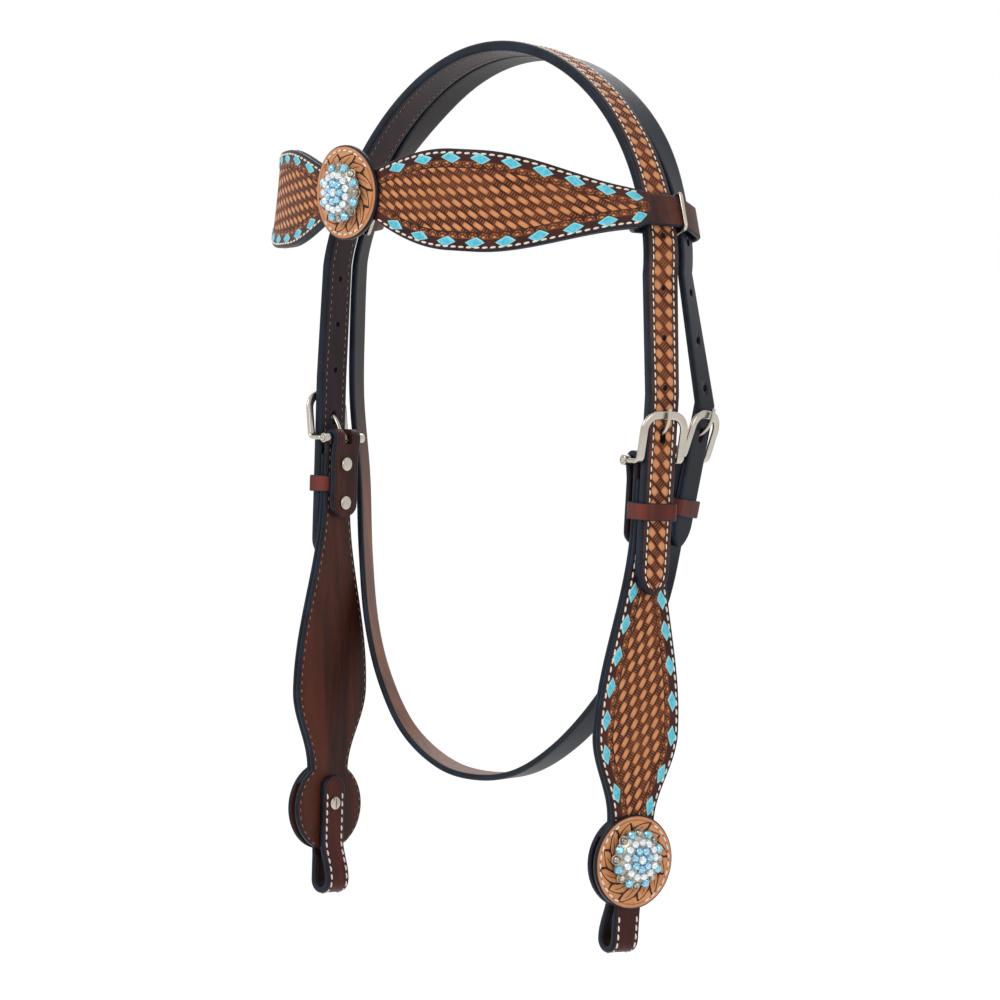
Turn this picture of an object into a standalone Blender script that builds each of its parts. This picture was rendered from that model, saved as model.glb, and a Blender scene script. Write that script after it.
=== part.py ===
"""A western headstall: crown, browband, two cheek pieces, throatlatch and three buckles.

Metres, +Z up. The origin is on the underside of the crown at the poll. The browband is
towards -Y, and the near side, which has the throat buckle, is towards +X.
"""

import math

import bmesh
import bpy
from mathutils import Matrix, Vector

# Leather plies and the space between faces that touch
STRAP_WIDTH = 0.019
THROAT_WIDTH = 0.016
LINING_PLY = 0.003
TOOLED_PLY = 0.0022
THROAT_PLY = 0.0034
BROW_PLY = 0.0024
KEEPER_PLY = 0.0017
SEAT_GAP = 0.0003
EDGE_ROUND = 0.0006
MERGE = 0.000001
CUT_OVERRUN = 0.002
SHARP_ANGLE = math.radians(35)

# Crown arch, seen from the front, and how it stands behind the browband
ARCH_HALF_SPAN = 0.131
ARCH_DEPTH = 0.115
ARCH_POWER = 1.2
ARCH_STEPS = 14
POLL_FLAT_ANGLE = math.radians(2.8)
POLL_SETBACK = 0.0065
SIDE_SETBACK = -0.0055
SETBACK_POWER = 1.4
CROWN_TILT = math.radians(8)
STRAP_YAW = math.radians(9)
REAR_YAW = math.radians(-30)
WEB_END_ANGLE = math.radians(34)
POLL_GAP = 0.0005
SIDE_GAP = 0.0026
WEB_INSET = 0.0009
WEB_LAP = 0.005
WEB_STEPS = 11

# Cheek pieces, hung from the buckle bars
BAR_HALF_SPAN = 0.126
BAR_SETBACK = -0.0085
BAR_DROP = 0.211
CHEEK_YAW = math.radians(5)
CHEEK_LEAN_OUT = math.radians(1.2)
CHEEK_LEAN_BACK = math.radians(3.2)
BILLET_RISE = 0.034
BILLET_BELOW_BAR = 0.068
BILLET_POINT = 0.012
TIP_WIDTH = 0.003
TIP_LENGTH_SHARE = 0.0833
TIP_BLUNT_SHARE = 0.22
BILLET_STEPS = 5

FOLD_RADIUS = 0.002
FOLD_STEPS = 8
TURNBACK_SLACK = 0.0005
TURNBACK_LENGTH = 0.044
TURNBACK_SETTLE = 0.011
NARROW_LENGTH = 0.032
WIDEST_DROP = 0.140
PANEL_WIDTH = 0.0518
WAIST_WIDTH = 0.027
DISK_DROP = 0.2055
DISK_RADIUS = 0.0244
DISK_PLY = 0.0024
OVERLAY_TOP_DROP = 0.009
PANEL_STEPS = 10
DISK_STEPS = 12
DISK_LAST_ANGLE = math.radians(174)

# Bit straps
BIT_STRAP_WIDTH = 0.016
BIT_PLY = 0.0036
BIT_SKIVED_PLY = 0.0022
BIT_TOP_DROP = 0.193
BIT_LOOP_DROP = 0.2535
BIT_LOOP_DEPTH = 0.0076
BIT_TAIL_TOP_DROP = 0.188
BIT_TAIL_POINT = 0.007
BIT_SKIVE_LENGTH = 0.005
BIT_SETTLE_DROP = 0.223
BIT_SETTLE_STEPS = 4
BIT_LOOP_STEPS = 7

# Standing keepers
KEEPER_DROP = 0.0255
KEEPER_HEIGHT = 0.009
KEEPER_SLACK = 0.0004
KEEPER_CORNER = 0.0012
KEEPER_CORNER_STEPS = 3

# Buckles
BAR_RADIUS = 0.0015
KNUCKLE_BORE = 0.0016
KNUCKLE_RADIUS = 0.003
FRAME_SLACK = 0.0008
FRAME_STOCK = 0.0046
FRAME_PLY = 0.0024
FRAME_RISE = 0.0238
FRAME_LEAN = math.radians(6.5)
HEEL_RADIUS = 0.003
HEEL_STEPS = 4
FRAME_CORNER = 0.008
CORNER_STEPS = 6
FRAME_EDGE = 0.0005
CROSSBAR_GAP = 0.0004
BAR_END = 0.0006
TONGUE_RADIUS = 0.0011
TONGUE_KNUCKLE = 0.0029
TONGUE_WIDTH = 0.0032
TONGUE_SLOT = 0.0046
TONGUE_HOLE_WIDTH = 0.0036
TONGUE_HOLE_LOW = 0.0072
TONGUE_HOLE_HIGH = 0.0176
TONGUE_STEPS = 2
# Outward share of the tongue's reach over the crossbar, and upward share of the crossbar's
# rise, along the tongue
TONGUE_SHARES = (
    (0.076, 0.085),
    (0.27, 0.34),
    (0.466, 0.5),
    (0.727, 0.62),
    (0.915, 0.76),
    (1.0, 0.93),
    (1.017, 1.16),
)
HOLE_SPACING = 0.0254
HOLE_RADIUS = 0.0019
THROAT_HOLES = 4

# Rivets and concho screws
RIVET_DROPS = (0.0145, 0.036)
RIVET_SHANK = 0.0014
RIVET_HEAD_RADIUS = 0.0038
RIVET_HEAD_HEIGHT = 0.0013
RIVET_BURR_RADIUS = 0.003
RIVET_BURR_HEIGHT = 0.0008
RIVET_CLEARANCE = 0.0003
SCREW_RISE = 0.002
SCREW_SHANK = 0.0016
SCREW_HEAD_RADIUS = 0.0036
SCREW_HEAD_HEIGHT = 0.0013
SCREW_SLOT_WIDTH = 0.0009
SCREW_SLOT_DEPTH = 0.0006
POST_RADIUS = 0.0025
POST_BORE = 0.0019
CONCHO_RADIUS = 0.0158
CONCHO_HEIGHT = 0.0072
CONCHO_RIM = 0.0012
CONCHO_BEADS = 8
BEAD_RADIUS = 0.0028
BEAD_RING_SHARE = 0.84
BEAD_LIFT_SHARE = 0.4

# Browband
BROW_HALF_SPAN = 0.1305
BROW_FRONT = 0.0845
BROW_CENTRE = -0.0145
BROW_FRONT_DROP = 0.0745
BROW_SIDE_DROP = 0.0828
BROW_LEAN_POWER = 2.5
BROW_STEPS = 28
BROW_LAST_ANGLE = math.radians(84)
LOOP_ANGLE = math.radians(71.5)
LOOP_SPREAD = math.radians(5)
LOOP_CLEARANCE = 0.0018
LOOP_HEIGHT = 0.017
LOOP_STEPS = 8
LOOP_TAIL_STATIONS = 5
LOOP_BEND_STEPS = 4
BROW_WAIST_HEIGHT = 0.0262
BROW_WIDEST_HEIGHT = 0.0516
BROW_NECK_HEIGHT = 0.0208
BROW_WAIST_RUN = 0.020
BROW_WIDE_START = 0.068
BROW_WIDE_END = 0.082
BROW_NECK_RUN = 0.172
ROSETTE_RADIUS = 0.0245
ROSETTE_STEPS = 16
RING_WIRE = 0.0008
RING_CORNER = 0.002

# Throatlatch
THROAT_BAR_X = 0.118
THROAT_BAR_Y = 0.024
THROAT_YAW = math.radians(-15)
THROAT_LEAN_OUT = math.radians(5)
THROAT_LEAN_BACK = math.radians(10)
THROAT_BILLET_RISE = 0.029
THROAT_BILLET_BELOW_BAR = 0.046
THROAT_DROP = 0.39
THROAT_BACK = 0.0125
THROAT_STEPS = 3
# Sideways share of the arch's half span, backward share of the throat's set-back, downward
# share of the drop, and turn in degrees, from the off side round to the near side
THROAT_ROUTE_SHARES = (
    (-1.065, 1.17, 0.385, 29),
    (-1.083, 1.28, 0.487, 30),
    (-1.065, 1.48, 0.6, 31),
    (-1.004, 1.11, 0.705, 33),
    (-0.91, 0.66, 0.805, 33),
    (-0.815, 0.64, 0.885, 31),
    (-0.665, 0.72, 0.952, 27),
    (-0.445, 0.86, 0.992, 20),
    (-0.205, 0.95, 1.0, 10),
    (0.04, 1.0, 0.985, 1),
    (0.28, 1.04, 0.943, -6),
    (0.505, 1.08, 0.882, -11),
    (0.69, 1.12, 0.812, -14),
    (0.815, 1.06, 0.738, -16),
)

ROUND_STEPS = 24
SMALL_STEPS = 14
OVAL_STEPS = 7
WIRE_STEPS = 2
DOME_STEPS = 6
BEAD_SEGMENTS = 8
BEAD_ROWS = 5
HEAD_STEPS = 3
FULL_TURN = math.radians(360)
HALF_TURN = math.radians(180)
QUARTER_TURN = math.radians(90)

# Places worked out from the sizes above, outward from a buckle bar's axis
LINING_IN = FOLD_RADIUS
LINING_OUT = LINING_IN + LINING_PLY
OVERLAY_IN = LINING_OUT + SEAT_GAP
OVERLAY_OUT = OVERLAY_IN + TOOLED_PLY
BILLET_IN = OVERLAY_OUT + SEAT_GAP
BILLET_PLIES = LINING_PLY + SEAT_GAP + TOOLED_PLY
BILLET_OUT = BILLET_IN + BILLET_PLIES
DISK_IN = OVERLAY_OUT + SEAT_GAP
DISK_OUT = DISK_IN + DISK_PLY
KEEPER_ROOM = KEEPER_PLY + SEAT_GAP + TURNBACK_SLACK
THROAT_OUT = FOLD_RADIUS + THROAT_PLY
THROAT_BILLET_IN = THROAT_OUT + SEAT_GAP
THROAT_BILLET_OUT = THROAT_BILLET_IN + THROAT_PLY
SCREW_DROP = DISK_DROP - SCREW_RISE

MIRROR_X = Matrix.Diagonal((-1, 1, 1, 1))
MIRROR_Y = Matrix.Diagonal((1, -1, 1, 1))


def clear_scene():
    """Remove every object that the scene holds."""
    for item in list(bpy.data.objects):
        bpy.data.objects.remove(item, do_unlink=True)


def new_collection(name):
    """Make a collection and link it to the scene."""
    collection = bpy.data.collections.new(name)
    bpy.context.scene.collection.children.link(collection)
    return collection


clear_scene()
PARTS = new_collection("western_headstall")
GUIDES = new_collection("guides")


def new_material(name, color, roughness, metallic=0.0):
    """Make a Principled material."""
    material = bpy.data.materials.new(name)
    material.use_nodes = True
    shader = material.node_tree.nodes["Principled BSDF"]
    shader.inputs["Base Color"].default_value = (*color, 1.0)
    shader.inputs["Roughness"].default_value = roughness
    shader.inputs["Metallic"].default_value = metallic
    return material


TAN = new_material("tooled_tan_leather", (0.42, 0.17, 0.065), 0.55)
MAHOGANY = new_material("mahogany_leather", (0.075, 0.022, 0.016), 0.5)
DARK = new_material("dark_leather", (0.03, 0.022, 0.03), 0.5)
KEEPER_BROWN = new_material("keeper_leather", (0.12, 0.035, 0.022), 0.45)
NICKEL = new_material("nickel", (0.72, 0.7, 0.66), 0.22, 1.0)
PEWTER = new_material("antique_pewter", (0.4, 0.38, 0.34), 0.35, 1.0)


def add_object(name, mesh, material=None, parent=None, collection=None):
    """Link a new object to a collection, with its material and parent."""
    item = bpy.data.objects.new(name, mesh)
    (collection or PARTS).objects.link(item)
    if material:
        mesh.materials.append(material)
    item.parent = parent
    return item


def add_guide(name, matrix, parent=None):
    """Make an empty that carries a frame of axes."""
    guide = bpy.data.objects.new(name, None)
    GUIDES.objects.link(guide)
    guide.parent = parent
    guide.matrix_local = matrix
    guide.hide_render = True
    return guide


def finish_mesh(bm, name):
    """Weld, face outwards and store a bmesh."""
    bmesh.ops.remove_doubles(bm, verts=bm.verts, dist=MERGE)
    bmesh.ops.recalc_face_normals(bm, faces=bm.faces)
    mesh = bpy.data.meshes.new(name)
    bm.to_mesh(mesh)
    bm.free()
    mesh.shade_smooth()
    mesh.set_sharp_from_angle(angle=SHARP_ANGLE)
    return mesh


def loft_mesh(name, rings):
    """Close a skin over rings of equal point counts and cap its two ends."""
    around = len(rings[0])
    bm = bmesh.new()
    bmesh.ops.create_grid(bm, x_segments=around, y_segments=len(rings) - 1, size=1)
    bm.verts.ensure_lookup_table()
    for row, ring in enumerate(rings):
        for column in range(around + 1):
            bm.verts[row * (around + 1) + column].co = ring[column % around]
    split_faces(bm, around)
    bmesh.ops.remove_doubles(bm, verts=bm.verts, dist=MERGE)
    bmesh.ops.holes_fill(bm, edges=[edge for edge in bm.edges if edge.is_boundary])
    return finish_mesh(bm, name)


def split_faces(bm, around):
    """Split a loft's faces the same way inside and out, so that plies laid together stay apart."""
    for face in list(bm.faces):
        corners = sorted(face.verts, key=lambda corner: corner.index)
        if corners[0].index % (around + 1) < around // 2:
            bmesh.utils.face_split(face, corners[0], corners[-1])
        else:
            bmesh.utils.face_split(face, corners[1], corners[-2])


def loft(name, rings, material=None, parent=None, collection=None):
    """Make an object from a loft."""
    return add_object(name, loft_mesh(name, rings), material, parent, collection)


def section(place, half, low, high, corner=EDGE_ROUND):
    """Eight corners of a strap's cross-section about a (point, across, outward) place."""
    point, across, outward = place
    corner = min(corner, half / 2, (high - low) / 3)
    outline = (
        (-half + corner, low),
        (half - corner, low),
        (half, low + corner),
        (half, high - corner),
        (half - corner, high),
        (-half + corner, high),
        (-half, high - corner),
        (-half, low + corner),
    )
    return [point + across * side + outward * out for side, out in outline]


def mirrored(rings):
    """The same rings on the other side of the middle plane, in the opposite order."""
    return [[MIRROR_X @ point for point in ring] for ring in reversed(rings)]


def places_along(points, acrosses):
    """A (point, across, outward) place at each point of a route."""
    places = []
    for index, point in enumerate(points):
        before = points[max(index - 1, 0)]
        after = points[min(index + 1, len(points) - 1)]
        tangent = (after - before).normalized()
        outward = tangent.cross(acrosses[index]).normalized()
        places.append((point, outward.cross(tangent), outward))
    return places


def smooth_curve(keys, steps):
    """Points of a Catmull-Rom curve through keys, without the first and last key's spans."""
    points = []
    for before, start, end, after in zip(keys, keys[1:], keys[2:], keys[3:]):
        for step in range(steps):
            share = step / steps
            bend_in = (end - before) / 2
            bend_out = (after - start) / 2
            square = share * share
            cube = square * share
            points.append(
                start * (2 * cube - 3 * square + 1)
                + bend_in * (cube - 2 * square + share)
                + end * (3 * square - 2 * cube)
                + bend_out * (cube - square)
            )
    points.append(keys[-2].copy())
    return points


def ease(share):
    """Rise smoothly from 0 to 1."""
    return (1 - math.cos(HALF_TURN * min(max(share, 0), 1))) / 2


def back_direction(yaw):
    """The direction across a strap, towards the back, with its outer face turned by yaw."""
    return Vector((math.sin(yaw), math.cos(yaw), 0))


def joint_frame(x, y, z, yaw, lean_out, lean_back):
    """Axes at a buckle bar: outward, across and up the strap."""
    up = Vector((math.tan(lean_out), math.tan(lean_back), 1)).normalized()
    outward = Vector((math.cos(yaw), -math.sin(yaw), 0))
    across = up.cross(outward).normalized()
    outward = across.cross(up)
    frame = Matrix((outward, across, up)).transposed().to_4x4()
    return Matrix.Translation((x, y, z)) @ frame


NEAR_FRAME = joint_frame(BAR_HALF_SPAN, BAR_SETBACK, -BAR_DROP, CHEEK_YAW, CHEEK_LEAN_OUT, CHEEK_LEAN_BACK)
OFF_FRAME = MIRROR_X @ NEAR_FRAME @ MIRROR_Y
THROAT_FRAME = joint_frame(
    THROAT_BAR_X, THROAT_BAR_Y, -BAR_DROP, THROAT_YAW, THROAT_LEAN_OUT, THROAT_LEAN_BACK
)


def arch_drop_share(angle):
    """How far down its arch the crown is at an angle from the poll."""
    return 1 - abs(math.cos(angle)) ** ARCH_POWER


# Brings the flat of the crown's underside through the origin
POLL_LEVEL = ARCH_DEPTH * arch_drop_share(POLL_FLAT_ANGLE) - POLL_SETBACK * math.tan(CROWN_TILT)


def crown_place(angle, offset=0):
    """A place on the crown's underside, offset across it towards the back."""
    drop_share = arch_drop_share(angle)
    sweep = drop_share**SETBACK_POWER
    setback = POLL_SETBACK + (SIDE_SETBACK - POLL_SETBACK) * sweep
    point = Vector((ARCH_HALF_SPAN * math.sin(angle), setback, POLL_LEVEL - ARCH_DEPTH * drop_share))
    slope = ARCH_POWER * abs(math.cos(angle)) ** (ARCH_POWER - 1) * math.sin(angle)
    tangent = Vector((ARCH_HALF_SPAN * math.cos(angle), 0, -ARCH_DEPTH * slope)).normalized()
    yaw_share = ease((abs(angle) - WEB_END_ANGLE) / (QUARTER_TURN - WEB_END_ANGLE))
    across = back_direction(math.copysign(STRAP_YAW * yaw_share, angle))
    across.z = -math.tan(CROWN_TILT) * math.cos(angle)
    across = (across - tangent * across.dot(tangent)).normalized()
    return point + across * offset, across, tangent.cross(across)


def crown_angles():
    """Angles round the crown from the edge of the flat at the poll to the near side."""
    span = QUARTER_TURN - POLL_FLAT_ANGLE
    return [POLL_FLAT_ANGLE + span * step / ARCH_STEPS for step in range(ARCH_STEPS)] + [QUARTER_TURN]


def rear_edge(angle):
    """How far behind the front strap's middle the throat strap begins, and its turn's share."""
    share = ease((abs(angle) - WEB_END_ANGLE) / (LOOP_ANGLE - WEB_END_ANGLE))
    return STRAP_WIDTH / 2 + POLL_GAP + (SIDE_GAP - POLL_GAP) * share, share


def rear_place(angle):
    """A place on the throat strap's inner face over the crown, turned with the horse's neck."""
    _, across, outward = crown_place(angle)
    tangent = across.cross(outward)
    edge, share = rear_edge(angle)
    turned_across = across.lerp(back_direction(REAR_YAW), share)
    turned_across = (turned_across - tangent * turned_across.dot(tangent)).normalized()
    turned_outward = tangent.cross(turned_across)
    lap = max(-turned_outward.dot(across), 0) * THROAT_PLY
    start = crown_place(angle, edge + lap)[0]
    return start + turned_across * THROAT_WIDTH / 2, turned_across, turned_outward


def between(start, end, steps):
    """Places evenly between two places, without the two themselves."""
    places = []
    for step in range(1, steps):
        share = step / steps
        point, across, outward = (a.lerp(b, share) for a, b in zip(start, end))
        places.append((point, across.normalized(), outward.normalized()))
    return places


def local_place(frame, outward, up, across_sign=1, across=0):
    """A place in a buckle's frame, its face square to the outward axis."""
    turn = frame.to_3x3()
    return (
        frame @ Vector((outward, across, up)),
        turn @ Vector((0, across_sign, 0)),
        turn @ Vector((1, 0, 0)),
    )


def point_halves(half, length):
    """Distance from a pointed tip and half width there, tip first."""
    tip = TIP_WIDTH / 2
    blunt_half = tip + (half - tip) * TIP_BLUNT_SHARE
    return ((0, tip), (length * TIP_LENGTH_SHARE, blunt_half), (length, half))


def front_strap_rings(low, high):
    """Rings of the front strap, from the off billet's tip over the poll to the near one."""
    half = STRAP_WIDTH / 2
    rings = []
    for angle in crown_angles():
        rings.append(section(crown_place(angle), half, low, high))
    top = local_place(NEAR_FRAME, BILLET_IN, BILLET_RISE)
    for place in between(crown_place(QUARTER_TURN), top, BILLET_STEPS):
        rings.append(section(place, half, low, high))
    rings.append(section(top, half, low, high))
    for rise in (TONGUE_HOLE_LOW, -KEEPER_DROP):
        rings.append(section(local_place(NEAR_FRAME, BILLET_IN, rise), half, low, high))
    for distance, tip_half in reversed(point_halves(half, BILLET_POINT)):
        place = local_place(NEAR_FRAME, BILLET_IN, distance - BILLET_BELOW_BAR)
        rings.append(section(place, tip_half, low, high))
    return mirrored(rings) + rings


def fold_places(frame, top_drop, across_sign):
    """Places of a strap's inner face from its outer leg, over the bar, to the turnback's end."""
    turn = frame.to_3x3()
    across = turn @ Vector((0, across_sign, 0))
    keys = [(FOLD_RADIUS, -top_drop)]
    for step in range(FOLD_STEPS + 1):
        angle = HALF_TURN * step / FOLD_STEPS
        keys.append((FOLD_RADIUS * math.cos(angle), FOLD_RADIUS * math.sin(angle)))
    settled = FOLD_RADIUS - KEEPER_ROOM
    keys += [(-FOLD_RADIUS, -FOLD_RADIUS), ((settled - FOLD_RADIUS) / 2, -TURNBACK_SETTLE / 2)]
    keys += [(settled, -TURNBACK_SETTLE), (settled, -TURNBACK_LENGTH)]
    points = [frame @ Vector((out, 0, up)) for out, up in keys]
    return places_along(points, [across] * len(points))


def rear_route():
    """Places of the throat strap, from the near billet's tip over the poll and round the throat."""
    places = []
    for rise in (-KEEPER_DROP, TONGUE_HOLE_LOW, THROAT_BILLET_RISE):
        places.append(local_place(THROAT_FRAME, THROAT_BILLET_IN, rise, -1))
    for angle in reversed(crown_angles()):
        point, across, outward = rear_place(angle)
        if angle == QUARTER_TURN:
            places += between(places[-1], (point, -across, outward), BILLET_STEPS)
        places.append((point, -across, outward))
    for angle in crown_angles():
        point, across, outward = rear_place(-angle)
        places.append((point, -across, outward))
    return places + throatlatch_places(places)


def throatlatch_places(before):
    """Places of the throatlatch from the off side's end of the crown to the near turnback."""
    fold = fold_places(THROAT_FRAME, TURNBACK_LENGTH, -1)
    points = [before[-2][0], before[-1][0]]
    turns = [before[-2][1], before[-1][1]]
    for side, back, down, degrees in THROAT_ROUTE_SHARES:
        points.append(Vector((side * ARCH_HALF_SPAN, back * THROAT_BACK, -down * THROAT_DROP)))
        turns.append(-back_direction(-math.radians(degrees)))
    points += [fold[0][0], fold[1][0]]
    turns += [fold[0][1], fold[1][1]]
    route = places_along(smooth_curve(points, THROAT_STEPS), smooth_curve(turns, THROAT_STEPS))
    return route[1:-1] + fold


def rear_strap_rings():
    """Rings of the throat strap and the throatlatch."""
    half = THROAT_WIDTH / 2
    rings = []
    for distance, tip_half in point_halves(half, BILLET_POINT):
        place = local_place(THROAT_FRAME, THROAT_BILLET_IN, distance - THROAT_BILLET_BELOW_BAR, -1)
        rings.append(section(place, tip_half, 0, THROAT_PLY))
    for place in rear_route():
        rings.append(section(place, half, 0, THROAT_PLY))
    return rings


def web_rings():
    """Rings of the ply that joins front and rear straps over the poll."""
    rings = []
    for step in range(-WEB_STEPS, WEB_STEPS + 1, 2):
        angle = WEB_END_ANGLE * step / WEB_STEPS
        place = crown_place(angle, rear_edge(angle)[0])
        rings.append(section(place, WEB_LAP, WEB_INSET, LINING_PLY - WEB_INSET))
    return rings


def apply_boolean(item, other, operation):
    """Cut or join an object with another in a Boolean modifier."""
    modifier = item.modifiers.new(operation.lower() + "_" + other.name, "BOOLEAN")
    modifier.operation = operation
    modifier.object = other
    modifier.solver = "EXACT"
    hide_tool(other)


def hide_tool(item):
    """Show a cutter or a joined shape as a wire and leave it out of renders."""
    item.hide_render = True
    item.display_type = "WIRE"


def cylinder_mesh(name, radius, length, steps=SMALL_STEPS):
    """A cylinder along Z about its own middle."""
    bm = bmesh.new()
    bmesh.ops.create_cone(
        bm, cap_ends=True, segments=steps, radius1=radius, radius2=radius, depth=length
    )
    return finish_mesh(bm, name)


def cylinder(name, radius, start, end, parent, material=None, collection=None, steps=SMALL_STEPS):
    """A cylinder between two points of its parent's frame."""
    axis = end - start
    mesh = cylinder_mesh(name, radius, axis.length, steps)
    item = add_object(name, mesh, material, parent, collection)
    turn = axis.to_track_quat("Z", "Y").to_matrix().to_4x4()
    item.matrix_local = Matrix.Translation((start + end) / 2) @ turn
    return item


def box(name, size, centre, parent, collection=None, material=None):
    """A box of a given size about a point of its parent's frame."""
    bm = bmesh.new()
    bmesh.ops.create_cube(bm, size=1, matrix=Matrix.Translation(centre) @ Matrix.Diagonal((*size, 1)))
    return add_object(name, finish_mesh(bm, name), material, parent, collection)


def slot_cutter(name, frame, low, high, rise_low, rise_high, width):
    """An oval cutter through a strap, long way up the strap, in a buckle's frame."""
    half = width / 2
    outline = []
    for step in range(OVAL_STEPS + 1):
        angle = HALF_TURN * step / OVAL_STEPS
        outline.append((half * math.cos(angle), rise_high - half + half * math.sin(angle)))
    for step in range(OVAL_STEPS + 1):
        angle = HALF_TURN * (1 + step / OVAL_STEPS)
        outline.append((half * math.cos(angle), rise_low + half + half * math.sin(angle)))
    rings = [[frame @ Vector((out, side, up)) for side, up in outline] for out in (low, high)]
    return loft(name, rings, collection=GUIDES)


def hole_cutter(name, frame, low, high, rise, radius):
    """A round cutter through a strap in a buckle's frame."""
    start = frame @ Vector((low, 0, rise))
    end = frame @ Vector((high, 0, rise))
    return cylinder(name, radius, start, end, None, collection=GUIDES)


def build_crown():
    """The crown's lining with its throatlatch, and the tooled ply over the front strap."""
    base = loft("crown_and_throatlatch", front_strap_rings(0, LINING_PLY), DARK)
    apply_boolean(base, loft("throat_strap_shape", rear_strap_rings(), collection=GUIDES), "UNION")
    apply_boolean(base, loft("poll_web_shape", web_rings(), collection=GUIDES), "UNION")
    overlay = loft("crown_tooled_ply", front_strap_rings(LINING_PLY + SEAT_GAP, BILLET_PLIES), TAN)
    for side, frame in (("near", NEAR_FRAME), ("off", OFF_FRAME)):
        cutter = slot_cutter(
            side + "_billet_hole",
            frame,
            BILLET_IN - CUT_OVERRUN,
            BILLET_OUT + CUT_OVERRUN,
            TONGUE_HOLE_LOW,
            TONGUE_HOLE_HIGH,
            TONGUE_HOLE_WIDTH,
        )
        apply_boolean(base, cutter, "DIFFERENCE")
        apply_boolean(overlay, cutter, "DIFFERENCE")
    cut_throat_holes(base)


def cut_throat_holes(base):
    """Holes in the throat billet, and the slot and rivet holes where the strap folds back."""
    cutter = slot_cutter(
        "throat_billet_hole",
        THROAT_FRAME,
        THROAT_BILLET_IN - SEAT_GAP / 2,
        THROAT_BILLET_OUT + CUT_OVERRUN,
        TONGUE_HOLE_LOW,
        TONGUE_HOLE_HIGH,
        TONGUE_HOLE_WIDTH,
    )
    apply_boolean(base, cutter, "DIFFERENCE")
    apply_boolean(base, fold_slot("throat", THROAT_FRAME, THROAT_PLY), "DIFFERENCE")
    low = FOLD_RADIUS - KEEPER_ROOM - THROAT_PLY
    rivet_cuts("throat", THROAT_FRAME, (base,), low, THROAT_OUT - SEAT_GAP / 2)
    throat_holes(base)


def fold_slot(name, frame, ply):
    """A cutter for the tongue's slot in a strap folded over a bar."""
    reach = FOLD_RADIUS + ply + CUT_OVERRUN
    size = (2 * reach, TONGUE_SLOT, reach + TONGUE_KNUCKLE + SEAT_GAP)
    middle = Vector((0, 0, (reach - TONGUE_KNUCKLE - SEAT_GAP) / 2))
    cutter = box(name + "_tongue_slot", size, middle, None, GUIDES)
    cutter.matrix_world = frame
    return cutter


def throat_holes(base):
    """Round adjusting holes up the throat billet, a hole's spacing apart from the one in use."""
    route = rear_route()[1:]
    travelled = (TONGUE_HOLE_LOW + TONGUE_HOLE_HIGH) / 2 - TONGUE_HOLE_LOW
    wanted = [travelled + HOLE_SPACING * number for number in range(1, THROAT_HOLES + 1)]
    distance = 0
    for start, end in zip(route, route[1:]):
        span = (end[0] - start[0]).length
        while wanted and distance + span >= wanted[0]:
            point = start[0].lerp(end[0], (wanted.pop(0) - distance) / span)
            inner = point - start[2] * CUT_OVERRUN
            outer = point + start[2] * (THROAT_PLY + CUT_OVERRUN)
            name = "throat_hole_" + str(len(wanted))
            hole = cylinder(name, HOLE_RADIUS, inner, outer, None, collection=GUIDES)
            apply_boolean(base, hole, "DIFFERENCE")
        distance += span


def rivet_cuts(prefix, frame, targets, low, burr_top):
    """Shank holes and burr recesses for two rivets, cut out of the plies they hold."""
    for number, drop in enumerate(RIVET_DROPS, 1):
        name = prefix + "_rivet_hole_" + str(number)
        shank = hole_cutter(name, frame, low - CUT_OVERRUN, burr_top, -drop, RIVET_SHANK + RIVET_CLEARANCE)
        floor = burr_top - RIVET_BURR_HEIGHT - RIVET_CLEARANCE
        name = prefix + "_rivet_recess_" + str(number)
        recess = hole_cutter(
            name, frame, floor, burr_top + RIVET_CLEARANCE, -drop, RIVET_BURR_RADIUS + RIVET_CLEARANCE
        )
        for target in targets:
            apply_boolean(target, shank, "DIFFERENCE")
        apply_boolean(targets[0], recess, "DIFFERENCE")


def turned(name, profile, material, parent, matrix, steps=SMALL_STEPS):
    """Turn a profile of (radius, height) points, top to bottom, about its axis."""
    mesh = bpy.data.meshes.new(name)
    points = [(radius, 0, height) for radius, height in profile]
    mesh.from_pydata(points, [(n, n + 1) for n in range(len(points) - 1)], [])
    item = add_object(name, mesh, material, parent)
    item.matrix_local = matrix
    screw = item.modifiers.new("turn", "SCREW")
    screw.axis = "Z"
    screw.angle = FULL_TURN
    screw.steps = steps
    screw.render_steps = steps
    screw.use_merge_vertices = True
    screw.merge_threshold = MERGE
    screw.use_smooth_shade = True
    return item


def outward_axis(outward, up):
    """A matrix that stands a turned piece on the outward axis of a buckle's frame."""
    return Matrix.Translation((outward, 0, up)) @ Matrix.Rotation(QUARTER_TURN, 4, "Y")


def build_rivets(prefix, parent, head_in, burr_top):
    """Two rivets, domed head inside and burr outside."""
    for number, drop in enumerate(RIVET_DROPS, 1):
        burr_low = burr_top - RIVET_BURR_HEIGHT
        profile = [(0, burr_top), (RIVET_BURR_RADIUS, burr_top), (RIVET_BURR_RADIUS, burr_low)]
        profile += [(RIVET_SHANK, burr_low), (RIVET_SHANK, head_in), (RIVET_HEAD_RADIUS, head_in)]
        rim = head_in - RIVET_HEAD_HEIGHT / 3
        for step in range(HEAD_STEPS):
            angle = QUARTER_TURN * step / HEAD_STEPS
            height = rim - (rim - head_in + RIVET_HEAD_HEIGHT) * math.sin(angle)
            profile.append((RIVET_HEAD_RADIUS * math.cos(angle), height))
        profile.append((0, head_in - RIVET_HEAD_HEIGHT))
        turned(prefix + "_rivet_" + str(number), profile, NICKEL, parent, outward_axis(0, -drop))


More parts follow.
